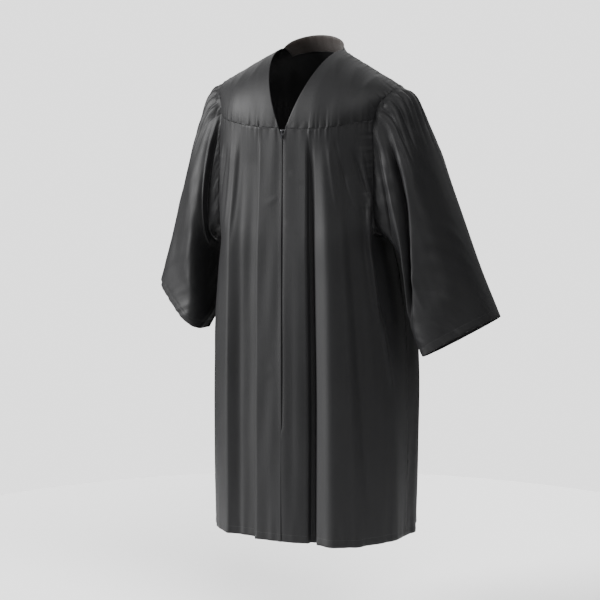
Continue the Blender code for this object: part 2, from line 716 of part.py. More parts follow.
def add_object(name, mesh, material):
    """A mesh as an object of the gown's collection, with its material."""
    obj = bpy.data.objects.new(name, mesh)
    bpy.data.collections["graduation_gown"].objects.link(obj)
    mesh.materials.append(material)
    return obj


def principled(name, colour, roughness, metallic=0.0):
    """A plain material of one colour."""
    material = bpy.data.materials.new(name)
    material.use_nodes = True
    shader = material.node_tree.nodes["Principled BSDF"]
    shader.inputs["Base Color"].default_value = (*colour, 1)
    shader.inputs["Roughness"].default_value = roughness
    shader.inputs["Metallic"].default_value = metallic
    return material


def neck_facing(yoke):
    """The facing strip: the yoke's own points near the back neck, moved inside its wall."""
    columns = yoke.grid.shape[1] - 1
    shoulder_cells = (columns - NECK_CELLS) // 2
    first, last = shoulder_cells, columns - shoulder_cells
    strip = yoke.grid[: FACING_ROWS + 1, first : last + 1]
    inwards = yoke.out[: FACING_ROWS + 1, first : last + 1]
    outer = strip - inwards * (WALL + SEAM_GAP)
    return outer, outer - inwards * FACING_WALL


def tape_front(height):
    """Where the tape's front face lies, behind the cloth at the centre front."""
    return by_height(height, BODY_SECTIONS, SECTION, "front") + WALL + TAPE_DEPTH


def zip_tape():
    """The tape, straight across and hanging behind the two band edges."""
    across = (-TAPE_HALF_WIDTH, 0.0, TAPE_HALF_WIDTH)
    heights = np.linspace(V_APEX + TAPE_ABOVE_V, ZIP_END, TAPE_CELLS + 1)
    outer = np.array([[(x, tape_front(z), z) for x in across] for z in heights])
    return outer, outer + np.array((0, TAPE_WALL, 0))


def bevelled_block(name, size, material):
    """A block with rounded edges, centred on its origin."""
    bpy.ops.mesh.primitive_cube_add(size=1)
    obj = bpy.context.object
    obj.name = name
    obj.data.name = name
    obj.data.transform(Matrix.Diagonal((*size, 1)))
    bevel = obj.modifiers.new("Rounded edges", "BEVEL")
    bevel.width = METAL_ROUNDING
    bevel.segments = 2
    obj.data.materials.append(material)
    for collection in list(obj.users_collection):
        collection.objects.unlink(obj)
    bpy.data.collections["graduation_gown"].objects.link(obj)
    return obj


def clear_scene():
    """Removes what the scene holds, and makes the gown's collection."""
    for obj in list(bpy.data.objects):
        bpy.data.objects.remove(obj, do_unlink=True)
    collection = bpy.data.collections.new("graduation_gown")
    bpy.context.scene.collection.children.link(collection)


def side_seams(edge):
    """A panel's outer edge as two seams that turn a corner at the underarm."""
    return ((edge, 0, ARMHOLE_ROWS), (edge, ARMHOLE_ROWS, None))


def build_cloth():
    """Every cut piece of cloth."""
    cloth = {}
    front_left = front_panel(FRONT_LEFT_FOLDS, 1)
    front_right = front_panel(FRONT_RIGHT_FOLDS, -1)
    back = back_panel()
    yoke_left = front_yoke(front_left, 1)
    yoke_right = front_yoke(front_right, -1)
    yoke_back = back_yoke(back)
    sleeves = {
        side: sleeve(armhole_loop(yoke, panel, yoke_back, back, side), folds, side)
        for side, yoke, panel, folds in (
            (1, yoke_left, front_left, SLEEVE_LEFT_FOLDS),
            (-1, yoke_right, front_right, SLEEVE_RIGHT_FOLDS),
        )
    }
    left_columns = front_left.shape[1] - 1
    right_columns = front_right.shape[1] - 1
    pieces = (
        Piece("front_left", front_left, (("top", 1, left_columns), *side_seams("end"))),
        Piece("front_right", front_right, (("top", 0, right_columns - 1), *side_seams("start"))),
        Piece("back", back, (("top", 0, None), *side_seams("start"), *side_seams("end"))),
        Piece("yoke_front_left", yoke_left, (("top", 0, None), ("bottom", 0, None), ("end", 0, None))),
        Piece("yoke_front_right", yoke_right, (("top", 0, None), ("bottom", 0, None), ("start", 0, None))),
        Piece(
            "yoke_back",
            yoke_back,
            (
                ("top", 0, (yoke_back.shape[1] - 1 - NECK_CELLS) // 2),
                ("top", (yoke_back.shape[1] - 1 + NECK_CELLS) // 2, None),
                ("bottom", 0, None),
                ("start", 0, None),
                ("end", 0, None),
            ),
        ),
        Piece("sleeve_left", sleeves[1], (("top", 0, None),), wraps=True),
        Piece("sleeve_right", sleeves[-1], (("top", 0, None),), wraps=True),
    )
    shared = shared_directions(pieces)
    seam = SHOULDER_TIP - NECK_POINT
    shoulder_out = unit(np.cross((0, 1, 0), seam))
    shoulder_out = shoulder_out * math.copysign(1, shoulder_out[2])
    for piece in pieces:
        outer, inner = faces_of_piece(piece, shared, WALL, shoulder_out)
        material = principled(piece.name, CLOTH_COLOUR, 0.45)
        build_sheet(piece.name, piece.grid, outer, inner, piece.wraps, material)
        cloth[piece.name] = piece
    return cloth


def build_neck_facing(yoke):
    """The strip inside the back neck."""
    outer, inner = neck_facing(yoke)
    material = principled("neck_facing", FACING_COLOUR, 0.6)
    build_sheet("neck_facing", outer, outer, inner, False, material)


def build_zip():
    """The tape, the slider at the V and its hanging pull tab."""
    outer, inner = zip_tape()
    build_sheet("zip_tape", outer, outer, inner, False, principled("zip_tape", TAPE_COLOUR, 0.7))
    slider_at = V_APEX + SLIDER_ABOVE_V + SLIDER_HEIGHT / 2
    slider_size = (SLIDER_WIDTH, SLIDER_DEPTH, SLIDER_HEIGHT)
    slider = bevelled_block("zip_slider", slider_size, principled("zip_slider", ZIP_COLOUR, 0.35, 0.8))
    slider.location = (0, tape_front(slider_at) - SEAM_GAP - SLIDER_DEPTH / 2, slider_at)
    pull_size = (PULL_WIDTH, PULL_DEPTH, PULL_LENGTH)
    pull = bevelled_block("zip_pull", pull_size, principled("zip_pull", ZIP_COLOUR, 0.35, 0.8))
    pull.data.transform(Matrix.Translation((0, 0, PULL_DEPTH / 2 - PULL_LENGTH / 2)))
    front = slider.location.y - SLIDER_DEPTH / 2
    pull.location = (0, front - PULL_CLEARANCE - PULL_DEPTH / 2, slider_at + SLIDER_HEIGHT / 4)


def main():
    """Builds the gown."""
    clear_scene()
    cloth = build_cloth()
    build_neck_facing(cloth["yoke_back"])
    build_zip()


main()
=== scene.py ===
"""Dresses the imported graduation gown: fine cloth on each cut piece, hems, stitching, zip and studio.

Every cloth piece is worked out from the same sizes as its solid, on a finer grid. It then gets
the folds, gathers and puckers that are too small for the solid. Metres, +Z up, the wearer faces -Y.
"""

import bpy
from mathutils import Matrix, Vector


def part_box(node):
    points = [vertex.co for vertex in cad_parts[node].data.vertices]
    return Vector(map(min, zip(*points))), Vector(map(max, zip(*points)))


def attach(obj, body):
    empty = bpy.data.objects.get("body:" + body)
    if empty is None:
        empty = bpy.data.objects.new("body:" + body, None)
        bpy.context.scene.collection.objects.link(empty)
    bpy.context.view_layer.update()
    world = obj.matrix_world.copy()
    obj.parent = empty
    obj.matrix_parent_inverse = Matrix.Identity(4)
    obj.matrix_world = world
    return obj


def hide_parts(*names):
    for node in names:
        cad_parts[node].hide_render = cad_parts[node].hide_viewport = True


bl_info = {
    "name": "Graduation gown",
    "version": (1, 0, 0),
    "blender": (4, 5, 0),
    "location": "3D View > Sidebar > Gown",
    "description": "Dresses the packed graduation gown and sets up its studio",
    "category": "Add Mesh",
}

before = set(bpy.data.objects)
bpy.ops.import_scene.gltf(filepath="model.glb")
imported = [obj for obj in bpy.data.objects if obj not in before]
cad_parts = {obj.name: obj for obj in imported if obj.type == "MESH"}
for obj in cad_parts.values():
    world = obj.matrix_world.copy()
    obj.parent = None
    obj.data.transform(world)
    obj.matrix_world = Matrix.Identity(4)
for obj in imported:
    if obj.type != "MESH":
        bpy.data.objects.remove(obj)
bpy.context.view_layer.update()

import functools
import math

import bpy
import numpy as np
from bpy.props import FloatProperty, FloatVectorProperty, PointerProperty
from mathutils import Vector

# Heights and the neck, as the solids have them
HEM = -1.210
UNDERARM = -0.460
UNDERARM_ROW_CENTRE = -0.560
YOKE_CENTRE = -0.199
YOKE_ARMHOLE = -0.176
BACK_YOKE_CENTRE = -0.172
BACK_YOKE_ARMHOLE = -0.165
NECK_POINT = np.array((0.0810, 0.0140, -0.0170))
SHOULDER_TIP = np.array((0.2394, 0.0090, -0.1025))
BACK_NECK = np.array((0.0, 0.0640, 0.0150))
NECK_STAND = 0.190
NECK_STEEPNESS = 0.45
NECK_RELAXING = 120
MIDDLE_KEPT = 0.55
V_APEX = -0.2195
CENTRE_GAP = 0.0016
ZIP_END = -0.940

# Cells of the solids' grids, and how many fine cells each is parted into
YOKE_ROWS = 8
ARMHOLE_ROWS = 11
SKIRT_ROWS = 10
SLEEVE_ROWS = 15
NECK_CELLS = 8
FACING_ROWS = 2
FADE_ROWS = 3
FINE_ROWS = 8
FINE_COLUMNS = 5

# Places of the extra fine rows beside a sewn edge, in cells
SEAM_ROWS = (0.035, 0.075)

SECTION = ("height", "half_width", "front", "side", "back", "squareness")
BODY_SECTIONS = (
    (-0.100, 0.215, -0.140, 0.012, 0.118, 2.5),
    (-0.176, 0.224, -0.149, 0.012, 0.128, 2.6),
    (-0.250, 0.230, -0.151, 0.012, 0.140, 2.6),
    (-0.310, 0.232, -0.152, 0.014, 0.150, 2.6),
    (-0.380, 0.231, -0.154, 0.017, 0.162, 2.7),
    (-0.425, 0.224, -0.155, 0.020, 0.171, 3.0),
    (-0.460, 0.212, -0.156, 0.022, 0.178, 3.4),
    (-0.550, 0.226, -0.157, 0.027, 0.190, 3.1),
    (-0.650, 0.240, -0.158, 0.031, 0.202, 2.9),
    (-0.800, 0.249, -0.158, 0.033, 0.212, 2.8),
    (-1.000, 0.251, -0.159, 0.034, 0.219, 2.7),
    (-1.210, 0.249, -0.160, 0.034, 0.223, 2.6),
)
ARMHOLE = ("height", "out")
ARMHOLE_LINE = (
    (-0.1025, 0.2394),
    (-0.140, 0.2140),
    (-0.176, 0.2060),
    (-0.250, 0.2070),
    (-0.350, 0.2090),
    (-0.460, 0.2120),
)

# The largest folds, near to the solids' with finer turns: crests and floors followed at four heights, by
# their distance along the cloth from the centre line and their height out of the plain section
FOLD_HEIGHTS = (-0.199, -0.460, -0.800, -1.210)
FOLD = ("name", "along", "out", "edge", "cells")
FRONT_LEFT_FOLDS = (
    ("band middle", (0.034, 0.035, 0.035, 0.035), (0.000, -0.001, -0.005, -0.006), "soft", 1),
    ("band edge", (0.066, 0.068, 0.069, 0.069), (0.001, -0.001, -0.010, -0.013), "crisp", 1),
    ("recess wall", (0.069, 0.071, 0.072, 0.072), (-0.003, -0.012, -0.024, -0.026), "crisp", 1),
    ("recess floor", (0.076, 0.080, 0.083, 0.084), (-0.003, -0.014, -0.026, -0.027), "soft", 1),
    ("flank foot", (0.084, 0.088, 0.092, 0.094), (-0.001, -0.005, -0.008, -0.008), "crisp", 2),
    ("bright fold", (0.104, 0.122, 0.133, 0.138), (0.001, 0.007, 0.011, 0.011), "soft", 4),
    ("fold's back", (0.130, 0.152, 0.174, 0.190), (0.001, 0.003, 0.006, 0.006), "soft", 2),
    ("valley", (0.148, 0.176, 0.204, 0.232), (0.000, -0.004, -0.006, -0.006), "soft", 2),
    ("outer rise", (0.180, 0.208, 0.246, 0.284), (0.000, -0.003, -0.004, -0.004), "soft", 2),
    ("underarm ridge", (0.205, 0.236, 0.296, 0.322), (0.001, 0.003, 0.001, 0.001), "soft", 2),
)
FRONT_RIGHT_FOLDS = (
    ("band middle", (0.032, 0.034, 0.035, 0.035), (0.000, 0.000, 0.001, 0.001), "soft", 1),
    ("band edge", (0.062, 0.067, 0.070, 0.070), (0.001, 0.003, 0.004, 0.005), "crisp", 1),
    ("recess wall", (0.065, 0.070, 0.073, 0.073), (-0.002, -0.006, -0.009, -0.010), "crisp", 1),
    ("recess floor", (0.080, 0.088, 0.092, 0.093), (-0.003, -0.008, -0.011, -0.012), "soft", 2),
    ("recess rise", (0.106, 0.114, 0.120, 0.122), (-0.002, -0.005, -0.008, -0.008), "soft", 2),
    ("pressed crease", (0.134, 0.148, 0.153, 0.154), (0.002, 0.007, 0.010, 0.010), "crisp", 2),
    ("bright panel", (0.165, 0.186, 0.205, 0.212), (0.001, 0.003, 0.004, 0.004), "soft", 2),
    ("side fold", (0.185, 0.212, 0.248, 0.262), (0.001, 0.002, 0.002, 0.002), "soft", 2),
    ("side valley", (0.205, 0.234, 0.290, 0.312), (0.000, -0.003, -0.006, -0.007), "soft", 2),
)
BACK_FOLDS = (
    ("left side fold", (0.198, 0.226, 0.282, 0.320), (0.001, 0.004, 0.006, 0.008), "soft", 2),
    ("left side valley", (0.172, 0.196, 0.238, 0.272), (0.000, -0.006, -0.010, -0.010), "soft", 2),
    ("left outer fold", (0.144, 0.166, 0.196, 0.222), (0.001, 0.005, 0.010, 0.011), "soft", 2),
    ("left outer valley", (0.118, 0.134, 0.158, 0.176), (0.000, -0.008, -0.013, -0.012), "soft", 2),
    ("left inner fold", (0.088, 0.102, 0.118, 0.134), (0.001, 0.006, 0.010, 0.013), "soft", 2),
    ("left inner valley", (0.060, 0.068, 0.078, 0.088), (0.000, -0.007, -0.012, -0.013), "soft", 2),
    ("left centre fold", (0.030, 0.034, 0.040, 0.044), (0.001, 0.005, 0.009, 0.010), "soft", 2),
    ("centre valley", (0.002, 0.000, -0.004, -0.004), (0.000, -0.004, -0.008, -0.009), "soft", 2),
    ("right centre fold", (-0.028, -0.034, -0.044, -0.050), (0.001, 0.005, 0.010, 0.012), "soft", 2),
    ("right inner valley", (-0.056, -0.066, -0.082, -0.096), (0.000, -0.007, -0.013, -0.012), "soft", 2),
    ("right inner fold", (-0.086, -0.100, -0.120, -0.140), (0.001, 0.006, 0.011, 0.012), "soft", 2),
    ("right outer valley", (-0.116, -0.132, -0.158, -0.180), (0.000, -0.008, -0.012, -0.012), "soft", 2),
    ("right outer fold", (-0.146, -0.168, -0.200, -0.228), (0.001, 0.005, 0.010, 0.010), "soft", 2),
    ("right side valley", (-0.172, -0.198, -0.240, -0.274), (0.000, -0.006, -0.009, -0.010), "soft", 2),
    ("right side fold", (-0.198, -0.226, -0.284, -0.322), (0.001, 0.004, 0.006, 0.007), "soft", 2),
)

RING = ("travel", "top_x", "top_y", "top_z", "under_x", "under_y", "under_z", "front", "back", "power")
SLEEVE_RINGS = (
    (0.00, 0.2394, 0.009, -0.1025, 0.2120, 0.022, -0.460, 0.100, 0.120, 2.0),
    (0.08, 0.2700, 0.012, -0.1270, 0.2380, 0.020, -0.476, 0.104, 0.122, 2.1),
    (0.18, 0.2950, 0.018, -0.1930, 0.2580, 0.014, -0.506, 0.104, 0.118, 2.25),
    (0.36, 0.3300, 0.030, -0.2980, 0.2760, 0.006, -0.572, 0.100, 0.108, 2.45),
    (0.56, 0.3720, 0.044, -0.4140, 0.2860, -0.002, -0.638, 0.092, 0.098, 2.6),
    (0.78, 0.4190, 0.062, -0.5420, 0.2990, -0.010, -0.697, 0.084, 0.088, 2.6),
    (1.00, 0.4640, 0.080, -0.6540, 0.3220, -0.018, -0.743, 0.078, 0.080, 2.4),
)
SLEEVE_CROWDING = 1.25
EVEN_TURNS_BY = 0.50
SETTLED_BY = 0.30
ARMHOLE_HALF_DEPTH = 0.110
ARMHOLE_HALF_HEIGHT = 0.178
RIGHT_CUFF_TOP_SHIFT = np.array((-0.014, -0.006, 0.054))
RIGHT_CUFF_UNDER_SHIFT = np.array((-0.042, -0.012, 0.024))
CUFF_SHIFT_POWER = 1.5
FOLD_RISE = 0.14
FOLD_FADE = 0.25
FOLD_RISE_SHARE = 0.3
FOLD_FADE_SHARE = 0.4

# Folds of the sleeves: name, turn at the start and at the end, width, start, end, out. Turns
# are in degrees from the upper fold by the front, start and end are shares of the way along,
# and out is below 0 for a groove.
SLEEVE_LEFT_FOLDS = (
    ("front tube fold", 100, 160, 15, 0.04, 0.80, 0.008),
    ("front seam groove", 76, 150, 7, 0.00, 0.18, -0.005),
    ("front deep groove", 64, 146, 9, 0.03, 0.74, -0.022),
    ("front inner groove", 126, 150, 13, 0.00, 0.60, -0.002),
    ("front smooth swell", 48, 86, 20, 0.06, 1.00, 0.009),
    ("upper front groove", 34, 28, 16, 0.04, 0.55, -0.004),
    ("cuff front wave", 78, 78, 16, 0.66, 1.20, 0.003),
    ("back tube fold", 250, 232, 16, 0.02, 0.90, 0.013),
    ("back deep groove", 276, 262, 14, 0.05, 0.98, -0.014),
    ("back smooth swell", 304, 298, 22, 0.12, 1.10, 0.008),
    ("back inner groove", 226, 206, 13, 0.00, 0.60, -0.009),
    ("front narrow ridge", 92, 118, 5.0, 0.00, 0.40, 0.0020),
    ("front second groove", 50, 64, 4.0, 0.01, 0.34, -0.0026),
    ("upper front crease", 30, 36, 4.0, 0.00, 0.26, -0.0020),
    ("back narrow ridge", 262, 248, 4.5, 0.00, 0.42, 0.0034),
    ("back second ridge", 284, 274, 4.5, 0.00, 0.36, 0.0028),
    ("back third ridge", 300, 294, 4.0, 0.00, 0.30, 0.0024),
    ("elbow crease", 112, 96, 5.0, 0.40, 0.80, 0.0022),
    ("under crease", 150, 168, 6.0, 0.06, 0.60, 0.0030),
    ("back under crease", 208, 196, 6.0, 0.08, 0.66, 0.0030),
)
SLEEVE_RIGHT_FOLDS = (
    ("front smooth swell", 112, 126, 26, 0.05, 1.15, 0.013),
    ("front seam ridge", 56, 166, 7, 0.00, 0.22, 0.008),
    ("front seam groove", 68, 184, 6, 0.00, 0.20, -0.007),
    ("front outer groove", 56, 74, 18, 0.06, 0.90, -0.004),
    ("cuff front wave", 112, 112, 14, 0.60, 1.20, -0.003),
    ("cuff second wave", 58, 58, 14, 0.60, 1.20, 0.003),
    ("back tube fold", 254, 236, 16, 0.02, 0.92, 0.012),
    ("back deep groove", 280, 266, 14, 0.05, 0.98, -0.014),
    ("back inner groove", 228, 210, 13, 0.00, 0.60, -0.009),
    ("back smooth swell", 308, 302, 22, 0.12, 1.10, 0.007),
    ("upper front crease", 42, 48, 3.5, 0.00, 0.26, -0.0016),
    ("back narrow ridge", 266, 252, 4.5, 0.00, 0.40, 0.0032),
    ("back second ridge", 288, 278, 4.5, 0.00, 0.34, 0.0026),
    ("elbow crease", 108, 92, 5.0, 0.42, 0.78, 0.0020),
    ("under crease", 152, 166, 6.0, 0.06, 0.60, 0.0028),
    ("back under crease", 206, 196, 6.0, 0.08, 0.62, 0.0028),
)
CAP_GATHERS = 9
CAP_GATHER_DEPTH = 0.0040
CAP_GATHER_RISE = 0.05
CAP_GATHER_FADE = 0.26
CAP_GATHER_REACH = 0.34
CAP_TURN = math.radians(62)
CAP_TURN_EDGE = math.radians(12)
CAP_GATHER_POWER = 0.8

# Finer creases of the panels: each runs from a start to an end, given by distance along the
# cloth and height, bowed sideways by bend. out is its height, below 0 for a groove. Columns:
# along and height at the start, along and height at the end, bend, width, out.
FRONT_LEFT_CREASES = (
    (0.118, -0.215, 0.150, -0.420, 0.004, 0.0055, 0.0020),
    (0.132, -0.210, 0.178, -0.380, 0.004, 0.0045, -0.0020),
    (0.160, -0.300, 0.214, -0.420, 0.006, 0.0060, 0.0026),
    (0.176, -0.240, 0.236, -0.400, 0.004, 0.0050, -0.0030),
    (0.192, -0.230, 0.246, -0.450, 0.003, 0.0050, 0.0036),
    (0.214, -0.330, 0.262, -0.700, 0.006, 0.0065, 0.0095),
    (0.226, -0.360, 0.275, -0.700, 0.005, 0.0055, -0.0050),
    (0.244, -0.360, 0.300, -0.780, 0.004, 0.0200, -0.0100),
    (0.262, -0.620, 0.300, -0.860, 0.004, 0.0080, 0.0040),
    (0.196, -0.560, 0.232, -1.180, 0.006, 0.0120, -0.0016),
    (0.262, -0.760, 0.286, -1.206, 0.003, 0.0110, 0.0018),
    (0.020, -0.300, 0.062, -0.330, 0.002, 0.0060, 0.0006),
    (0.008, -0.420, 0.050, -0.450, 0.002, 0.0070, 0.0005),
    (0.012, -0.940, 0.058, -0.962, 0.002, 0.0060, 0.0006),
)
FRONT_RIGHT_CREASES = (
    (0.120, -0.215, 0.150, -0.520, 0.003, 0.0060, -0.0016),
    (0.150, -0.230, 0.176, -0.480, 0.004, 0.0055, 0.0020),
    (0.170, -0.240, 0.222, -0.430, 0.004, 0.0055, -0.0024),
    (0.190, -0.235, 0.240, -0.450, 0.004, 0.0050, 0.0028),
    (0.232, -0.420, 0.262, -0.660, 0.004, 0.0060, 0.0034),
    (0.240, -0.700, 0.300, -1.200, 0.006, 0.0110, -0.0020),
    (0.008, -0.360, 0.048, -0.385, 0.002, 0.0060, 0.0006),
    (0.016, -0.780, 0.056, -0.800, 0.002, 0.0070, 0.0006),
)
BACK_CREASES = (
    (0.210, -0.190, 0.150, -0.440, 0.006, 0.0060, 0.0026),
    (0.190, -0.200, 0.216, -0.430, 0.004, 0.0050, -0.0024),
    (-0.206, -0.190, -0.158, -0.430, 0.006, 0.0060, 0.0026),
    (-0.188, -0.210, -0.214, -0.440, -0.004, 0.0050, -0.0024),
    (0.240, -0.440, 0.262, -0.720, 0.004, 0.0060, 0.0032),
    (-0.240, -0.440, -0.262, -0.720, -0.004, 0.0060, 0.0032),
    (0.070, -0.560, 0.060, -1.180, 0.003, 0.0080, 0.0014),
    (-0.108, -0.480, -0.132, -1.150, 0.003, 0.0080, 0.0014),
    (0.018, -0.300, 0.012, -0.900, 0.002, 0.0070, 0.0012),
    (-0.180, -0.700, -0.212, -1.200, 0.003, 0.0090, 0.0016),
    (0.176, -0.620, 0.206, -1.190, 0.003, 0.0090, 0.0016),
)
YOKE_CREASES = (
    (0.096, -0.030, 0.120, -0.150, 0.004, 0.0080, 0.0012),
    (0.140, -0.020, 0.160, -0.140, 0.004, 0.0080, 0.0010),
    (0.186, -0.014, 0.176, -0.120, -0.003, 0.0070, 0.0014),
)
BACK_YOKE_CREASES = (
    (0.084, -0.020, 0.120, -0.170, 0.004, 0.0090, 0.0014),
    (-0.084, -0.020, -0.126, -0.170, -0.004, 0.0090, 0.0014),
    (0.186, -0.020, 0.170, -0.150, 0.004, 0.0080, 0.0014),
    (-0.186, -0.020, -0.170, -0.150, -0.004, 0.0080, 0.0014),
)
CREASE_RISE = 0.22
CREASE_FADE = 0.35

# Puckers, unevenness and the groove along a sewn edge
SEAM_SWELL = 0.0004
SEAM_EDGE = 0.0016
SEAM_REACH = 0.012
PUCKER_PITCH = 0.0135
PUCKER_DEPTH = 0.0012
PUCKER_REACH = 0.016
CLOSING_REACH = 0.030
UNEVENNESS = 0.0006
UNEVEN_WIDTH = 0.055
UNEVEN_LENGTH = 0.260

# Turned edges: the roll, the layer behind it and the stitching
TURN_THICKNESS = 0.0016
TURN_STEPS = (math.radians(45), math.radians(90), math.radians(135), math.radians(180))
HEM_LAYERS = 4
EDGE_LAYERS = 5
HEM_STITCHES_ABOVE = 0.018
ZIP_STITCHES_ASIDE = 0.0065
HEM_WAVE = 0.0010
HEM_WAVE_PITCH = 0.034
HEM_REACH = 0.050
STITCH_LENGTH = 0.0026
STITCH_GAP = 0.0010
STITCH_RADIUS = 0.00022

# The zip
ZIP_DIP = 0.0014
ZIP_LAP_RISE = 0.0009
ZIP_DIP_REACH = 0.0050
SEAM_DIP = 0.0010
SEAM_DIP_REACH = 0.020
ZIP_DIP_FADE = 0.010
SEAM_CLOSING = 0.020
SEAM_HALF_GAP = 0.00010
TOOTH_PITCH = 0.0016
TOOTH_SIZE = (0.0016, 0.0007, 0.0009)
TOOTH_ASIDE = 0.0003
TOOTH_DEPTH = 0.0011
TAPE_FRONT = 0.0020
TAPE_THICKNESS = 0.0004
TAPE_CORD = 0.0002
TAPE_COLUMNS = 29
TAPE_ROWS = 240
SLIDER_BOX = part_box("zip_slider")
PULL_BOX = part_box("zip_pull")
PIVOT = (0.0, -0.15343, -0.20463)
BRIDGE_RADIUS = 0.00022
BRIDGE_BEND = 0.0009
BRIDGE_FRONT = 0.0003
SLOT_HALF_WIDTH = 0.00055
SLOT_HALF_HEIGHT = 0.0017
SLOT_DROP = 0.0013
FLANGE_HALF_WIDTH = 0.0006
GRIP_HALF_HEIGHT = 0.0042

# Outlines as shares of half the width and half the height, or of the half width and the length
SLIDER_OUTLINE = (
    (-0.98, 0.55), (-0.80, 0.88), (-0.40, 1.00), (0.40, 1.00), (0.80, 0.88), (0.98, 0.55),
    (0.92, 0.10), (0.74, -0.40), (0.66, -0.84), (0.50, -1.00), (-0.50, -1.00), (-0.66, -0.84),
    (-0.74, -0.40), (-0.92, 0.10),
)
ROUNDED_SQUARE = (
    (-1.0, 0.6), (-0.6, 1.0), (0.6, 1.0), (1.0, 0.6), (1.0, -0.6), (0.6, -1.0), (-0.6, -1.0), (-1.0, -0.6),
)
TAB_OUTLINE = (
    (0.0, 0.0), (0.36, 0.012), (0.56, 0.045), (0.58, 0.12), (0.50, 0.20), (0.58, 0.32), (0.86, 0.46),
    (1.0, 0.62), (1.0, 0.82), (0.88, 0.94), (0.60, 0.99), (0.0, 1.0),
)

# The facing, the stitches' shape and the cloth's yarns
FACING_DEPTH = 0.0020
STITCH_SIDES = 6
STITCH_PROFILE = ((0.0, -0.8, 0.5), (0.18, 0.35, 1.0), (0.5, 0.7, 1.1), (0.82, 0.35, 1.0), (1.0, -0.8, 0.5))
STITCH_DIP = 0.0005
STITCH_DIP_WIDTH = 0.0020
CLOTH_UV = "cloth"
YARN_SCALE = 420.0

# The studio
PHOTO_PIXELS = 600
FOCAL_PIXELS = 2165.6
SENSOR = 36.0
CAMERA_AZIMUTH = math.radians(27.1)
CAMERA_ELEVATION = math.radians(8.97)
CAMERA_DISTANCE = 5.353
CAMERA_ASIDE = -0.0253
CAMERA_HEIGHT = -0.6335
FLOOR_HEIGHT = -1.45
FLOOR_RADIUS = 1.6
FLOOR_SIDES = 96
KEY_DIRECTION = (-147, 16)
KEY_SPREAD = 34
TOP_DIRECTION = (-90, 88)
TOP_SPREAD = 80
FILL_DIRECTION = (-40, 38)
FILL_SPREAD = 50
SEEN_WHITE = 2.10
FILL_SHARE = 0.34
BACK_DIRECTION = (108, 42)
BACK_SPREAD = 80
BACK_SHARE = 0.20


class GownClothSettings(bpy.types.PropertyGroup):
    """The cloth's sizes and colours."""

    colour: FloatVectorProperty(
        name="Cloth colour",
        description="Colour of the gown's polyester satin",
        default=(0.0068, 0.0068, 0.0072),
        size=3,
        min=0,
        max=1,
        subtype="COLOR",
    )
    facing_colour: FloatVectorProperty(
        name="Facing colour",
        description="Colour of the strip inside the back neck",
        default=(0.015, 0.0115, 0.0100),
        size=3,
        min=0,
        max=1,
        subtype="COLOR",
    )
    thickness: FloatProperty(
        name="Thickness",
        description="How thick the shown cloth is",
        default=0.0006,
        min=0.0002,
        max=0.0014,
        unit="LENGTH",
    )
    folds: FloatProperty(
        name="Small folds",
        description="How strongly the finer creases and puckers stand out",
        default=1.0,
        min=0.0,
        max=1.5,
        subtype="FACTOR",
    )


class GownZipSettings(bpy.types.PropertyGroup):
    """The zip's colour."""

    colour: FloatVectorProperty(
        name="Zip colour",
        description="Colour of the slider, the pull tab and the teeth",
        default=(0.018, 0.018, 0.020),
        size=3,
        min=0,
        max=1,
        subtype="COLOR",
    )


class GownStageSettings(bpy.types.PropertyGroup):
    """The studio's light."""

    key: FloatProperty(
        name="Key light",
        description="Strength of the large soft light at the camera's left",
        default=12.5,
        min=0.0,
    )
    top: FloatProperty(
        name="Top light",
        description="Strength of the soft light from straight above",
        default=0.4,
        min=0.0,
    )
    surroundings: FloatProperty(
        name="Surroundings",
        description="How much light the white room sends onto the gown",
        default=0.17,
        min=0.0,
        max=2.0,
    )


def column_of(table, names, name):
    """One column of a table as an array."""
    return np.array([row[names.index(name)] for row in table], dtype=float)


def smooth(at, places, values):
    """The value at a place, on a cubic through all the values. places run upwards."""
    places = np.asarray(places, dtype=float)
    values = np.asarray(values, dtype=float)
    slopes = np.gradient(values, places)
    at = np.clip(at, places[0], places[-1])
    cell = np.clip(np.searchsorted(places, at, side="right") - 1, 0, len(places) - 2)
    width = places[cell + 1] - places[cell]
    t = (at - places[cell]) / width
    rise = values[cell + 1] - values[cell]
    start = slopes[cell] * width
    end = slopes[cell + 1] * width
    return values[cell] + t * start + t * t * (3 * rise - 2 * start - end) + t**3 * (start + end - 2 * rise)


def smoothstep(value):
    """0 below 0, 1 above 1, and a soft rise between."""
    value = np.clip(value, 0, 1)
    return value * value * (3 - 2 * value)


def by_height(height, table, names, name):
    """A column of a table whose heights run downwards, at some heights."""
    return smooth(-height, -column_of(table, names, "height"), column_of(table, names, name))


def section(height, steps=180):
    """Half the plain outline at a height: points, distances along it and outward directions."""
    half_width, front, side, back, power = (
        by_height(height, BODY_SECTIONS, SECTION, name) for name in SECTION[1:]
    )
    turn = np.linspace(0, math.pi, 2 * steps + 1)
    across = half_width * np.clip(np.sin(turn), 0, 1) ** (2 / power)
    reach = np.abs(np.cos(turn)) ** (2 / power)
    along = side + np.where(turn <= math.pi / 2, (front - side) * reach, (back - side) * reach)
    points = np.stack([across, along], axis=1)
    run = np.concatenate([[0], np.cumsum(np.hypot(*np.diff(points, axis=0).T))])
    tangent = np.gradient(points, axis=0)
    out = np.stack([tangent[:, 1], -tangent[:, 0]], axis=1)
    out[0] = (0, -1)
    out[-1] = (0, 1)
    return points, run, out / np.linalg.norm(out, axis=1, keepdims=True)


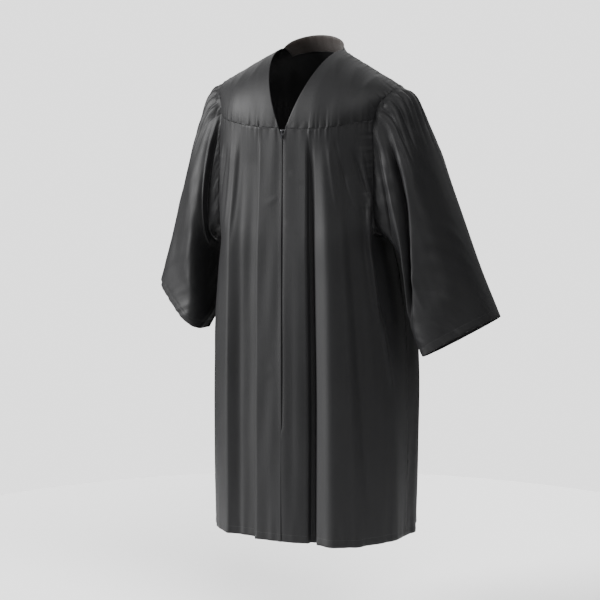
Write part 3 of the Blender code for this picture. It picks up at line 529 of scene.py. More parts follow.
class PlainBody:
    """The body without folds, as tables by height and by share of the way from front to back."""

    ROWS = 260
    SHARES = 360

    def __init__(self):
        self.heights = np.linspace(-0.100, -1.210, self.ROWS)
        shares = np.linspace(0, 1, self.SHARES + 1)
        places, self.length, self.front_edge, self.back_edge = [], [], [], []
        for height in self.heights:
            points, run, out = section(height)
            side = len(run) // 2
            at = shares * run[-1]
            columns = (points[:, 0], points[:, 1], out[:, 0], out[:, 1])
            places.append(np.stack([np.interp(at, run, values) for values in columns], axis=1))
            front = back = run[side]
            if height > UNDERARM:
                cut = by_height(height, ARMHOLE_LINE, ARMHOLE, "out")
                front = np.interp(cut, points[: side + 1, 0], run[: side + 1])
                back = np.interp(cut, points[side:, 0][::-1], run[side:][::-1])
            self.length.append(run[-1])
            self.front_edge.append(front)
            self.back_edge.append(run[-1] - back)
        self.places = np.array(places)

    def at_height(self, height, values):
        """A column of values by height, at some heights."""
        return np.interp(-np.asarray(height), -self.heights, values)

    def edge(self, height, from_back):
        """The distance from the centre line to the armhole, or to the side seam below it."""
        return self.at_height(height, self.back_edge if from_back else self.front_edge)

    def point(self, height, distance, out_by, from_back):
        """Points at distances from the centre front or the centre back, moved outwards."""
        share = distance / self.at_height(height, self.length)
        share = 1 - share if from_back else share
        row = self.at_height(height, np.arange(self.ROWS))
        column = np.clip(share, 0, 1) * self.SHARES
        i = np.clip(row.astype(int), 0, self.ROWS - 2)
        j = np.clip(column.astype(int), 0, self.SHARES - 1)
        down, over = (row - i)[..., None], (column - j)[..., None]
        table = self.places
        upper = table[i, j] * (1 - over) + table[i, j + 1] * over
        lower = table[i + 1, j] * (1 - over) + table[i + 1, j + 1] * over
        found = upper * (1 - down) + lower * down
        x = found[..., 0] + out_by * found[..., 2]
        y = found[..., 1] + out_by * found[..., 3]
        return np.stack([x, y, np.broadcast_to(height, x.shape)], axis=-1)


@functools.cache
def plain_body():
    """The body's tables, made once."""
    return PlainBody()


def fine_places(cells, per_cell, sewn_start=False, sewn_end=False):
    """Places along a grid's side, in cells, with extra ones beside its sewn ends."""
    places = list(np.arange(cells * per_cell + 1) / per_cell)
    if sewn_start:
        places += SEAM_ROWS
    if sewn_end:
        places += [cells - place for place in SEAM_ROWS]
    return np.array(sorted(places))


def eased(share, from_edge, to_edge):
    """A share of the way between two folds, slow at a soft one and straight at a crisp one."""
    start = 0.0 if from_edge == "soft" else 1.0
    end = 0.0 if to_edge == "soft" else 1.0
    return share * start + share**2 * (3 - 2 * start - end) + share**3 * (start + end - 2)


class FoldedPanel:
    """A front or back panel's folds, by column and height."""

    def __init__(self, folds, from_back):
        self.folds = folds
        self.from_back = from_back
        self.cells = [2] + [row[FOLD.index("cells")] for row in folds]
        self.starts = np.concatenate([[0], np.cumsum(self.cells)])
        self.columns = int(self.starts[-1])

    def fold_line(self, k, heights, edge):
        """The distance and the height outwards of the k-th crest or floor, at some heights."""
        if k == 0:
            return (edge if self.from_back else np.full_like(heights, CENTRE_GAP / 2)), 0 * heights
        if k == len(self.cells):
            return (-edge if self.from_back else edge), 0 * heights
        along, out = self.folds[k - 1][1:3]
        places = -np.array(FOLD_HEIGHTS)
        return smooth(-heights, places, along), smooth(-heights, places, out)

    def across(self, column, heights):
        """The distance along the cloth and the height outwards of one column."""
        edge = plain_body().edge(heights, self.from_back)
        k = min(int(np.searchsorted(self.starts, column, side="right")) - 1, len(self.cells) - 1)
        share = (column - self.starts[k]) / self.cells[k]
        edges = ["soft", *(row[FOLD.index("edge")] for row in self.folds), "soft"]
        (here, here_out), (there, there_out) = (
            self.fold_line(place, heights, edge) for place in (k, k + 1)
        )
        rise = eased(share, edges[k], edges[k + 1])
        return here + share * (there - here), here_out + rise * (there_out - here_out)


@functools.cache
def armhole_heights(seam_height, from_back):
    """Heights that part the armhole seam, from the yoke to the underarm, into equal lengths."""
    shares = np.linspace(1, 0, 161) ** 3
    heights = UNDERARM + (seam_height - UNDERARM) * shares
    body = plain_body()
    line = body.point(heights, body.edge(heights, from_back), 0.0, from_back)
    run = np.concatenate([[0], np.cumsum(np.linalg.norm(np.diff(line, axis=0), axis=1))])
    return np.interp(np.linspace(0, run[-1], ARMHOLE_ROWS + 1), run, heights)


def row_heights(rows, seam_height, nearness, at_edge):
    """A panel's row heights in one column. They fall from the armhole to the panel's middle."""
    share = (rows - ARMHOLE_ROWS) / SKIRT_ROWS
    upper_edge = np.interp(rows, np.arange(ARMHOLE_ROWS + 1), at_edge)
    upper_middle = seam_height + (UNDERARM_ROW_CENTRE - seam_height) * rows / ARMHOLE_ROWS
    lower_edge = UNDERARM + (HEM - UNDERARM) * share
    lower_middle = UNDERARM_ROW_CENTRE + (HEM - UNDERARM_ROW_CENTRE) * share
    edge = np.where(rows > ARMHOLE_ROWS, lower_edge, upper_edge)
    middle = np.where(rows > ARMHOLE_ROWS, lower_middle, upper_middle)
    heights = middle + (edge - middle) * nearness
    heights[0] = seam_height
    return heights


def neck_half_width(height):
    """The V's half width at a height: straight from the neck points down to the zip."""
    share = (height - V_APEX) / (NECK_POINT[2] - V_APEX)
    return CENTRE_GAP / 2 + share * (NECK_POINT[0] - CENTRE_GAP / 2)


class Sheet:
    """A grid of points of a cut piece, with its places in cells and on the flat cloth.

    facing is the outward direction at each point. An edge that is turned in keeps the direction
    of the cloth in front of it.
    """

    def __init__(self, name, points, rows, columns, along, height, wraps=False, facing=None):
        self.name = name
        self.points = points
        self.rows = rows
        self.columns = columns
        self.along = along
        self.height = height
        self.wraps = wraps
        self.facing = self.normals() if facing is None else facing

    def mirrored(self):
        """The sheet on the other side of the centre plane, turned so that it faces out."""
        flip = np.array((-1, 1, 1))
        return Sheet(
            self.name,
            self.points[:, ::-1] * flip,
            self.rows,
            self.columns[-1] - self.columns[::-1],
            self.along[:, ::-1],
            self.height[:, ::-1],
            self.wraps,
            self.facing[:, ::-1] * flip,
        )

    def normals(self):
        """Which way each point faces."""
        down = np.gradient(self.points, axis=0)
        if self.wraps:
            across = (np.roll(self.points, -1, axis=1) - np.roll(self.points, 1, axis=1)) / 2
        else:
            across = np.gradient(self.points, axis=1)
        facing = np.cross(down, across)
        return facing / np.maximum(np.linalg.norm(facing, axis=-1, keepdims=True), 1e-12)

    def raised(self, by):
        """The sheet with its points moved outwards."""
        points = self.points + self.facing * by[..., None]
        return Sheet(self.name, points, self.rows, self.columns, self.along, self.height, self.wraps)

    def away_from(self, edge):
        """Each point's distance over the cloth from one edge of the sheet."""
        axis = 0 if edge in ("top", "bottom") else 1
        steps = np.linalg.norm(np.diff(self.points, axis=axis), axis=2)
        run = np.insert(np.cumsum(steps, axis=axis), 0, 0, axis=axis)
        if edge in ("bottom", "end"):
            run = (run[-1:] if axis == 0 else run[:, -1:]) - run
        return run

    def turned_in(self, edge, layers):
        """The sheet with its lower or its first edge rolled inwards and folded back behind it."""
        fields = [self.points, self.along[..., None], self.height[..., None], self.facing]
        if edge == "start":
            fields = [field[:, ::-1].swapaxes(0, 1) for field in fields]
        points, along, height, facing = fields
        last = len(points) - 1
        beyond = points[last] - points[last - 1]
        beyond = beyond / np.maximum(np.linalg.norm(beyond, axis=-1, keepdims=True), 1e-9)
        added = []
        for turn in TURN_STEPS:
            reach, inwards = math.sin(turn), 1 - math.cos(turn)
            added.append(points[last] + (beyond * reach - facing[last] * inwards) * TURN_THICKNESS / 2)
        for step in range(1, layers + 1):
            added.append(points[last - step] - facing[last - step] * TURN_THICKNESS)
        count = len(added)
        step_back = np.minimum(np.arange(count), last)
        points = np.concatenate([points, added])
        facing = np.concatenate([facing, facing[last - step_back]])
        flat_step = (along[last] - along[last - 1], height[last] - height[last - 1])
        steps = np.arange(1, count + 1)[:, None, None]
        along = np.concatenate([along, along[last] + flat_step[0] * steps])
        height = np.concatenate([height, height[last] + flat_step[1] * steps])
        fields = [points, along, height, facing]
        rows, columns = self.rows, self.columns
        if edge == "start":
            fields = [field.swapaxes(0, 1)[:, ::-1] for field in fields]
            columns = np.concatenate([columns[0] - np.arange(count, 0, -1) / FINE_COLUMNS, columns])
        else:
            rows = np.concatenate([rows, rows[-1] + np.arange(1, count + 1) / FINE_ROWS])
        points, along, height, facing = fields
        return Sheet(self.name, points, rows, columns, along[..., 0], height[..., 0], self.wraps, facing)


def panel_rows():
    """The places of a panel's fine rows."""
    return fine_places(ARMHOLE_ROWS + SKIRT_ROWS, FINE_ROWS, sewn_start=True)


def front_panel(name, folds):
    """A front panel of the wearer's left, from the centre front to the armhole and side seam."""
    panel = FoldedPanel(folds, from_back=False)
    body = plain_body()
    rows = panel_rows()
    columns = fine_places(panel.columns, FINE_COLUMNS, sewn_start=True, sewn_end=True)
    points, along, tall = [], [], []
    first_seam = YOKE_CENTRE + (YOKE_ARMHOLE - YOKE_CENTRE) / panel.columns**2
    for column in columns:
        share = column / panel.columns
        seam = YOKE_CENTRE + (YOKE_ARMHOLE - YOKE_CENTRE) * share**2
        if column < 1:
            seam = V_APEX + (first_seam - V_APEX) * column
        heights = row_heights(rows, seam, share**3, armhole_heights(YOKE_ARMHOLE, False))
        distance, out = panel.across(column, heights)
        if column < 2:
            to_neck = neck_half_width(min(seam, first_seam)) - distance[0]
            distance = distance + to_neck * min(1, 2 - column) * np.clip(1 - rows, 0, 1)
        points.append(body.point(heights, distance, out * smoothstep(rows / FADE_ROWS), False))
        along.append(distance)
        tall.append(heights)
    return Sheet(name, *(np.stack(points, axis=1), rows, columns, np.stack(along, 1), np.stack(tall, 1)))


def back_panel():
    """The back, from the wearer's left side by the centre back to the right side."""
    panel = FoldedPanel(BACK_FOLDS, from_back=True)
    body = plain_body()
    rows = panel_rows()
    columns = fine_places(panel.columns, FINE_COLUMNS, sewn_start=True, sewn_end=True)
    points, along, tall = [], [], []
    for column in columns:
        off_centre = abs(2 * column / panel.columns - 1)
        seam = BACK_YOKE_CENTRE + (BACK_YOKE_ARMHOLE - BACK_YOKE_CENTRE) * off_centre**2
        heights = row_heights(rows, seam, off_centre**3, armhole_heights(BACK_YOKE_ARMHOLE, True))
        distance, out = panel.across(column, heights)
        placed = body.point(heights, np.abs(distance), out * smoothstep(rows / FADE_ROWS), True)
        placed[:, 0] *= np.where(distance < 0, -1, 1)
        points.append(placed)
        along.append(distance)
        tall.append(heights)
    return Sheet("back", np.stack(points, 1), rows, columns, np.stack(along, 1), np.stack(tall, 1))


def yoke_rows():
    """The places of a yoke's fine rows."""
    return fine_places(YOKE_ROWS, FINE_ROWS, sewn_start=True, sewn_end=True)


def draped_over(top, bottom, rows, steepness=0.0, cut_off=0.0):
    """Rows from a shoulder line down to a yoke seam, as quarters of ellipses."""
    start = np.arcsin(cut_off)
    grid = []
    for share in rows / YOKE_ROWS:
        turn = start + (math.pi / 2 - start) * share
        down = np.cos(turn) / np.cos(start) * (1 - steepness) + (1 - share) * steepness
        away = (np.sin(turn) - cut_off) / (1 - cut_off) * (1 - steepness) + share * steepness
        points = np.empty_like(top)
        points[:, 1] = top[:, 1] + (bottom[:, 1] - top[:, 1]) * away
        points[:, 2] = bottom[:, 2] + (top[:, 2] - bottom[:, 2]) * down
        points[:, 0] = bottom[:, 0] + (top[:, 0] - bottom[:, 0]) * down
        grid.append(points)
    return np.array(grid)


def at_armhole(grid, column):
    """The yoke's outer column drawn onto the armhole line, and those near it part of the way."""
    for row in grid[1:-1]:
        edge = row[column, 0]
        shift = by_height(row[column, 2], ARMHOLE_LINE, ARMHOLE, "out") * math.copysign(1, edge) - edge
        nearness = np.clip((row[:, 0] / edge - MIDDLE_KEPT) / (1 - MIDDLE_KEPT), 0, 1) ** 2
        row[:, 0] += shift * nearness
    return grid


def yoke_sheet(name, grid, columns):
    """A yoke's grid as a sheet, whose flat places are measured on it."""
    down = np.linalg.norm(np.diff(grid, axis=0), axis=2)
    height = np.concatenate([np.zeros((1, grid.shape[1])), -np.cumsum(down, axis=0)])
    return Sheet(name, grid, yoke_rows(), columns, grid[:, :, 0].copy(), height)


def front_yoke(name, panel):
    """A front yoke of the wearer's left, above its panel."""
    first = int(np.searchsorted(panel.columns, 1))
    bottom = panel.points[0, first:]
    columns = panel.columns[first:] - 1
    top = NECK_POINT + (SHOULDER_TIP - NECK_POINT) * (columns / columns[-1])[:, None]
    grid = at_armhole(draped_over(top, bottom, yoke_rows()), len(bottom) - 1)
    return yoke_sheet(name, grid, columns)


def back_yoke(panel):
    """The back yoke, from the left armhole over the back neck to the right one."""
    regular = np.isin(panel.columns, fine_places(int(panel.columns[-1]), FINE_COLUMNS))
    bottom, columns = panel.points[0, regular], panel.columns[regular]
    count = columns[-1]
    shoulder_cells = (count - NECK_CELLS) / 2
    top = []
    for column in columns:
        from_left = min(column, count - column)
        sign = 1 if column <= count / 2 else -1
        if from_left <= shoulder_cells:
            point = SHOULDER_TIP + (NECK_POINT - SHOULDER_TIP) * (from_left / shoulder_cells)
        else:
            turn = (from_left - shoulder_cells) / (count / 2 - shoulder_cells) * math.pi / 2
            point = np.array((NECK_POINT[0] * math.cos(turn), 0.0, 0.0))
            point[1:] = NECK_POINT[1:] + (BACK_NECK[1:] - NECK_POINT[1:]) * math.sin(turn)
        top.append(point * (sign, 1, 1))
    top = np.array(top)
    steepness = NECK_STEEPNESS * smoothstep((NECK_STAND - np.abs(top[:, 0])) / NECK_STAND)
    cut_off = np.clip((top[:, 1] - NECK_POINT[1]) / (bottom[:, 1] - NECK_POINT[1]), 0, 1)
    rows = fine_places(YOKE_ROWS, FINE_ROWS)
    grid = draped_over(top, bottom, rows, steepness, cut_off)
    grid = at_armhole(at_armhole(grid, 0), len(bottom) - 1)
    for _ in range(NECK_RELAXING):
        mean = (grid[:-2, 1:-1] + grid[2:, 1:-1] + grid[1:-1, :-2] + grid[1:-1, 2:]) / 4
        grid[1:-1, 1:-1] = (grid[1:-1, 1:-1] + mean) / 2
    grid = resampled(grid, rows, yoke_rows(), 0)
    grid = resampled(grid, columns, panel.columns, 1)
    grid[-1] = panel.points[0]
    return yoke_sheet("yoke_back", grid, panel.columns)


def resampled(grid, places, new_places, axis):
    """The grid with straight lines between its points, at other places along one axis."""
    moved = np.moveaxis(grid, axis, 0)
    flat = moved.reshape(len(places), -1)
    columns = [np.interp(new_places, places, flat[:, k]) for k in range(flat.shape[1])]
    found = np.stack(columns, axis=1).reshape(len(new_places), *moved.shape[1:])
    return np.moveaxis(found, 0, axis)


def sleeve_ring(travel, turns):
    """A ring of the sleeve at a share of its length, with its outward directions."""
    places = column_of(SLEEVE_RINGS, RING, "travel")
    at = {name: smooth(travel, places, column_of(SLEEVE_RINGS, RING, name)) for name in RING[1:]}
    top, under = (np.array([at[name + axis] for axis in ("_x", "_y", "_z")]) for name in ("top", "under"))
    middle, half = (top + under) / 2, (top - under) / 2
    cosine, sine = np.cos(turns), np.sin(turns)
    depth = np.where(sine > 0, at["front"], at["back"])
    along = np.sign(cosine) * np.abs(cosine) ** (2 / at["power"])
    aside = -np.sign(sine) * np.abs(sine) ** (2 / at["power"]) * depth
    points = middle + along[:, None] * half + aside[:, None] * np.array((0, 1, 0))
    out = cosine[:, None] * half / np.linalg.norm(half) - sine[:, None] * np.array((0, 1, 0))
    return points, out / np.linalg.norm(out, axis=1, keepdims=True)


def fold_shape(turns, travel, folds):
    """How far the sleeve's folds stand out at one share of its length."""
    total = np.zeros_like(turns)
    for _, turn_start, turn_end, width, start, end, out in folds:
        share = np.clip((travel - start) / (end - start), 0, 1)
        middle = math.radians(turn_start + (turn_end - turn_start) * share)
        gap = (turns - middle + math.pi) % (2 * math.pi) - math.pi
        length = end - start
        rise = smoothstep((travel - start) / min(FOLD_RISE, FOLD_RISE_SHARE * length))
        rise *= smoothstep((end - travel) / min(FOLD_FADE, FOLD_FADE_SHARE * length))
        total += out * rise * np.exp(-((gap / math.radians(width)) ** 2))
    return total


def cap_gathers(turns, travel):
    """The small gathers of the sleeve cap, which fade along the sleeve."""
    gap = (turns + math.pi) % (2 * math.pi) - math.pi
    inside = smoothstep((CAP_TURN - np.abs(gap)) / CAP_TURN_EDGE)
    fade = smoothstep(travel / CAP_GATHER_RISE)
    fade *= smoothstep((CAP_GATHER_REACH - travel) / CAP_GATHER_FADE)
    wave = 2 * np.abs(np.cos(gap / CAP_TURN * CAP_GATHERS * math.pi / 2)) ** CAP_GATHER_POWER - 1
    return CAP_GATHER_DEPTH * wave * inside * fade


def armhole_loop(yoke, panel, yoke_back, back):
    """The left armhole's points and their places in cells, from the shoulder tip by the back."""
    cells = 2 * (YOKE_ROWS + ARMHOLE_ROWS)
    to_underarm = np.searchsorted(panel.rows, ARMHOLE_ROWS)
    behind = np.concatenate([yoke_back.points[:, 0], back.points[1 : to_underarm + 1, 0]])
    behind_places = np.concatenate([yoke_back.rows, YOKE_ROWS + back.rows[1 : to_underarm + 1]])
    before = np.concatenate([yoke.points[1:, -1], panel.points[1:to_underarm, -1]])
    before_places = np.concatenate([yoke.rows[1:], YOKE_ROWS + panel.rows[1:to_underarm]])
    points = np.concatenate([behind, before[::-1]])
    return points, np.concatenate([behind_places, (cells - before_places)[::-1]]) / cells


def sleeve(name, loop, shares, folds, side):
    """A sleeve: rings of points from the armhole to the cuff, by the back, underarm and front."""
    centre = loop.mean(axis=0)
    aside = -(loop[:, 1] - centre[1]) / ARMHOLE_HALF_DEPTH
    upwards = (loop[:, 2] - centre[2]) / ARMHOLE_HALF_HEIGHT
    turns = np.arctan2(aside, upwards)
    even = -shares * 2 * math.pi
    lag = (turns - even + math.pi) % (2 * math.pi) - math.pi
    rows = fine_places(SLEEVE_ROWS, FINE_ROWS, sewn_start=True)
    points, travels, angles = [], [], []
    for row in rows:
        travel = (row / SLEEVE_ROWS) ** SLEEVE_CROWDING
        at = even + lag * (1 - smoothstep(travel / EVEN_TURNS_BY))
        ring, out = sleeve_ring(travel, at)
        start, _ = sleeve_ring(0.0, at)
        settled = smoothstep(travel / SETTLED_BY)
        placed = (loop + (ring - start)) * (1 - settled) + ring * settled
        rise = fold_shape(at, travel, folds) + cap_gathers(at, travel)
        placed = placed + out * (rise * min(1, row))[:, None]
        if side < 0:
            upper = ((1 + np.cos(at)) / 2)[:, None]
            shift = upper * RIGHT_CUFF_TOP_SHIFT + (1 - upper) * RIGHT_CUFF_UNDER_SHIFT
            placed = placed + shift * travel**CUFF_SHIFT_POWER
        points.append(placed)
        travels.append(np.full(len(loop), travel))
        angles.append(at)
    grid = np.array(points)
    across = np.linalg.norm(np.diff(grid, axis=1, append=grid[:, :1]), axis=2)
    along = np.concatenate([np.zeros((len(rows), 1)), np.cumsum(across, axis=1)[:, :-1]], axis=1)
    down = np.linalg.norm(np.diff(grid, axis=0), axis=2).mean(axis=1)
    height = -np.concatenate([[0], np.cumsum(down)])[:, None] * np.ones(len(loop))
    return Sheet(name, grid, rows, shares * len(loop), along, height, wraps=True)


def uneven_line(along, seed):
    """A smooth uneven wave of about 1 high along a line, for places given in pitches."""
    random = np.random.default_rng(seed)
    total = np.zeros_like(along)
    for octave in (0.61, 1.0, 1.53):
        total += np.sin(2 * math.pi * (along * octave + random.random())) / (1 + octave)
    return total


def uneven_field(across, down, seed):
    """A smooth uneven surface of about 1 high, for places given in its own widths and lengths."""
    random = np.random.default_rng(seed)
    total = np.zeros_like(across)
    for _ in range(7):
        a, b = random.uniform(-1.2, 1.2), random.uniform(-1.1, 1.1)
        total += np.sin(2 * math.pi * (a * across + b * down + random.random())) / 3
    return total


def crease_shape(along, height, creases):
    """How far a panel's finer creases stand out."""
    total = np.zeros_like(along)
    for along_start, height_start, along_end, height_end, bend, width, out in creases:
        start = np.array((along_start, height_start))
        reach = np.array((along_end, height_end)) - start
        length = np.linalg.norm(reach)
        direction = reach / length
        t = ((along - start[0]) * direction[0] + (height - start[1]) * direction[1]) / length
        off = (along - start[0]) * direction[1] - (height - start[1]) * direction[0]
        off = off - bend * 4 * np.clip(t, 0, 1) * (1 - np.clip(t, 0, 1))
        fade = smoothstep(t / CREASE_RISE) * smoothstep((1 - t) / CREASE_FADE)
        total += out * fade * np.exp(-((off / width) ** 2))
    return total


def seam_shape(sheet, edge, seed, puckers=1.0):
    """The swell and the puckers beside a sewn edge. At the edge itself the cloth stays put."""
    away = sheet.away_from(edge)
    line = sheet.along if edge in ("top", "bottom") else sheet.height
    raised = SEAM_SWELL * np.exp(-away / SEAM_REACH)
    raised += puckers * PUCKER_DEPTH * uneven_line(line / PUCKER_PITCH, seed) * np.exp(-away / PUCKER_REACH)
    return raised


def held_at(sheet, edges):
    """0 on the sewn edges and 1 a little way off them."""
    held = np.ones(sheet.points.shape[:2])
    for edge in edges:
        held *= 1 - np.exp(-((sheet.away_from(edge) / SEAM_EDGE) ** 2))
    return held


def unevenness(sheet, seed):
    """Long shallow vertical waves of the hanging cloth."""
    return UNEVENNESS * uneven_field(sheet.along / UNEVEN_WIDTH, sheet.height / UNEVEN_LENGTH, seed)


def hem_shape(sheet, seed):
    """The small waves near a hem, and the line its stitching presses in."""
    away = sheet.away_from("bottom")
    wave = HEM_WAVE * uneven_line(sheet.along / HEM_WAVE_PITCH, seed) * np.exp(-away / HEM_REACH)
    pressed = STITCH_DIP * np.exp(-(((away - HEM_STITCHES_ABOVE) / STITCH_DIP_WIDTH) ** 2))
    return wave - pressed


def shaped(sheet, sewn, creases, seed, strength, hem=False, puckers=1.0):
    """The sheet with its finer creases, puckers and unevenness, plain where a tube closes."""
    by = crease_shape(sheet.along, sheet.height, creases) + unevenness(sheet, seed)
    for k, edge in enumerate(sewn):
        by += seam_shape(sheet, edge, seed + 1 + k, puckers)
    if hem:
        by += hem_shape(sheet, seed + 9)
    if sheet.wraps:
        around = sheet.along[:, -1:] + np.diff(sheet.along, axis=1).mean(axis=1, keepdims=True)
        by *= 1 - np.exp(-((np.minimum(sheet.along, around - sheet.along) / CLOSING_REACH) ** 2))
    return sheet.raised(strength * by * held_at(sheet, sewn))


def drawn_to_zip(sheet, side):
    """A front at its centre edge: the wearer's right one laps over the left one, above a seam."""
    aside = sheet.along - CENTRE_GAP / 2
    z = sheet.points[..., 2]
    near_edge = np.exp(-((aside / ZIP_DIP_REACH) ** 2))
    lapped = smoothstep((V_APEX - z) / ZIP_DIP_FADE) * smoothstep((z - ZIP_END) / SEAM_CLOSING)
    below = smoothstep((ZIP_END - z) / SEAM_CLOSING)
    dip = (ZIP_LAP_RISE if side < 0 else -ZIP_DIP) * near_edge * lapped
    if side > 0:
        dip -= SEAM_DIP * np.exp(-((aside / SEAM_DIP_REACH) ** 2)) * below
    moved = sheet.raised(dip)
    lap = (CENTRE_GAP if side < 0 else 0) * lapped + (CENTRE_GAP / 2 - SEAM_HALF_GAP) * below
    moved.points[..., 0] -= lap * near_edge
    return Sheet(sheet.name, moved.points, sheet.rows, sheet.columns, sheet.along, sheet.height)


class GownSheets:
    """Every cloth sheet of the gown, with the finer folds at one strength."""

    def __init__(self, strength):
        plain = {
            side: front_panel(name, folds)
            for side, name, folds in (
                (1, "front_left", FRONT_LEFT_FOLDS),
                (-1, "front_right", FRONT_RIGHT_FOLDS),
            )
        }
        yokes = {side: front_yoke(f"yoke_{plain[side].name}", plain[side]) for side in (1, -1)}
        back = back_panel()
        yoke_back = back_yoke(back)
        self.outer = {}
        for side, creases in ((1, FRONT_LEFT_CREASES), (-1, FRONT_RIGHT_CREASES)):
            behind = (yoke_back, back) if side > 0 else (yoke_back.mirrored(), back.mirrored())
            loop, shares = armhole_loop(yokes[side], plain[side], *behind)
            name = "sleeve_left" if side > 0 else "sleeve_right"
            folds = SLEEVE_LEFT_FOLDS if side > 0 else SLEEVE_RIGHT_FOLDS
            sleeve_sheet = sleeve(name, loop, shares, folds, side)
            front = shaped(plain[side], ("top", "end"), creases, 11 * (side + 2), strength, True, 0.8)
            self.keep(drawn_to_zip(front, side), side)
            yoke = shaped(yokes[side], ("top", "bottom", "end"), YOKE_CREASES, 7 * (side + 2), strength)
            self.keep(yoke, side)
            around = shaped(sleeve_sheet, ("top",), (), 5 * (side + 2), strength, hem=True, puckers=0.5)
            self.keep(around, side)
        edges = ("top", "start", "end")
        self.keep(shaped(back, edges, BACK_CREASES, 61, strength, hem=True), 1)
        self.keep(shaped(yoke_back, ("top", "bottom", "start", "end"), BACK_YOKE_CREASES, 71, strength), 1)

    def keep(self, sheet, side):
        """Keeps a shaped sheet, in the frame of the wearer's left and in its own place."""
        self.outer[sheet.name] = (sheet, side)

    def finished(self, name):
        """A sheet with its free edges turned in, in its own place."""
        sheet, side = self.outer[name]
        if name.startswith("front") or name.startswith("yoke_front"):
            sheet = sheet.turned_in("start", EDGE_LAYERS)
        if not name.startswith("yoke"):
            sheet = sheet.turned_in("bottom", HEM_LAYERS)
        return sheet if side > 0 else sheet.mirrored()

    def line(self, name, edge, away):
        """A line over a sheet at a distance from one edge: its points and outward directions."""
        sheet, side = self.outer[name]
        run = sheet.away_from(edge)
        fields = np.concatenate([sheet.points, sheet.facing], axis=-1)
        if edge in ("start", "end"):
            run, fields = run.T, fields.swapaxes(0, 1)
        found = []
        for j in range(run.shape[1]):
            order = np.argsort(run[:, j])
            found.append([np.interp(away, run[order, j], fields[order, j, k]) for k in range(6)])
        found = np.array(found)
        if side < 0:
            found = found * np.array((-1, 1, 1, -1, 1, 1))
        return found[:, :3], found[:, 3:]


@functools.cache
def gown_sheets(strength):
    """The gown's sheets, worked out once."""
    return GownSheets(strength)


def add_object(name, mesh, material):
    """A mesh as an object of the scene, with its material."""
    obj = bpy.data.objects.new(name, mesh)
    bpy.context.scene.collection.objects.link(obj)
    mesh.materials.append(material)
    return obj


def sheet_object(sheet, material, thickness):
    """A cloth object of a sheet: smooth quads, the flat cloth's places as UVs, and a thin wall."""
    rows, columns = sheet.points.shape[:2]
    across = columns if sheet.wraps else columns - 1
    i, j = np.meshgrid(np.arange(rows - 1), np.arange(across), indexing="ij")
    right = (j + 1) % columns
    corners = ((i, j), (i + 1, j), (i + 1, right), (i, right))
    faces = np.stack([row * columns + column for row, column in corners], axis=-1)
    mesh = bpy.data.meshes.new(sheet.name)
    mesh.from_pydata(sheet.points.reshape(-1, 3).tolist(), [], faces.reshape(-1, 4).tolist())
    flat = np.stack([sheet.along, sheet.height], axis=-1)
    flat = np.concatenate([flat, 2 * flat[:, -1:] - flat[:, -2:-1]], axis=1)
    places = [flat[row, column] for row, column in ((i, j), (i + 1, j), (i + 1, j + 1), (i, j + 1))]
    layer = mesh.uv_layers.new(name=CLOTH_UV)
    layer.uv.foreach_set("vector", np.stack(places, axis=2).astype(np.float32).ravel())
    mesh.shade_smooth()
    obj = add_object(f"{sheet.name}_cloth", mesh, material)
    wall = obj.modifiers.new("Cloth wall", "SOLIDIFY")
    wall.thickness = thickness
    wall.offset = -1
    return obj


def add_cloth(name, material, settings):
    """A cloth piece in the place of its solid, moving with the gown."""
    obj = sheet_object(gown_sheets(settings.folds).finished(name), material, settings.thickness)
    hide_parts(name)
    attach(obj, "gown")
    return obj


class Shader:
    """A material's node tree, with short ways to add nodes."""

    def __init__(self, name):
        self.material = bpy.data.materials.new(name)
        self.material.use_nodes = True
        self.tree = self.material.node_tree
        self.surface = self.tree.nodes["Principled BSDF"]

    def node(self, kind, **settings):
        """Adds a node and sets its inputs and properties by name."""
        made = self.tree.nodes.new(kind)
        for name, value in settings.items():
            label = name.replace("_", " ").title()
            if label in made.inputs:
                self.feed(made.inputs[label], value)
            else:
                setattr(made, name, value)
        return made

    def feed(self, socket, value):
        """Links an output to a socket, or sets its value."""
        if isinstance(value, bpy.types.NodeSocket):
            self.tree.links.new(value, socket)
        else:
            socket.default_value = value

    def math(self, operation, first, second):
        """The result of one sum of two numbers."""
        made = self.tree.nodes.new("ShaderNodeMath")
        made.operation = operation
        self.feed(made.inputs[0], first)
        self.feed(made.inputs[1], second)
        return made.outputs[0]

    def noise(self, vector, scale, detail, roughness=0.5):
        """A noise value from 0 to 1."""
        made = self.node(
            "ShaderNodeTexNoise", vector=vector, scale=scale, detail=detail, roughness=roughness
        )
        return made.outputs["Fac"]

    def stretched(self, vector, across, down):
        """A place on the cloth, scaled in each direction."""
        made = self.tree.nodes.new("ShaderNodeVectorMath")
        made.operation = "MULTIPLY"
        self.feed(made.inputs[0], vector)
        made.inputs[1].default_value = (across, down, 1)
        return made.outputs[0]

    def between(self, value, low, high):
        """A value from 0 to 1 mapped between two limits."""
        made = self.tree.nodes.new("ShaderNodeMapRange")
        self.feed(made.inputs["Value"], value)
        made.inputs["To Min"].default_value = low
        made.inputs["To Max"].default_value = high
        return made.outputs["Result"]

    def tinted(self, value, dark, light):
        """A colour between two, by a value from 0 to 1."""
        made = self.tree.nodes.new("ShaderNodeMix")
        made.data_type = "RGBA"
        self.feed(made.inputs["Factor"], value)
        made.inputs["A"].default_value = (*dark, 1)
        made.inputs["B"].default_value = (*light, 1)
        return made.outputs["Result"]

    def bump(self, height, distance, strength, normal=None):
        """A bumped normal."""
        made = self.node("ShaderNodeBump", height=height, distance=distance, strength=strength)
        if normal is not None:
            self.feed(made.inputs["Normal"], normal)
        return made.outputs["Normal"]


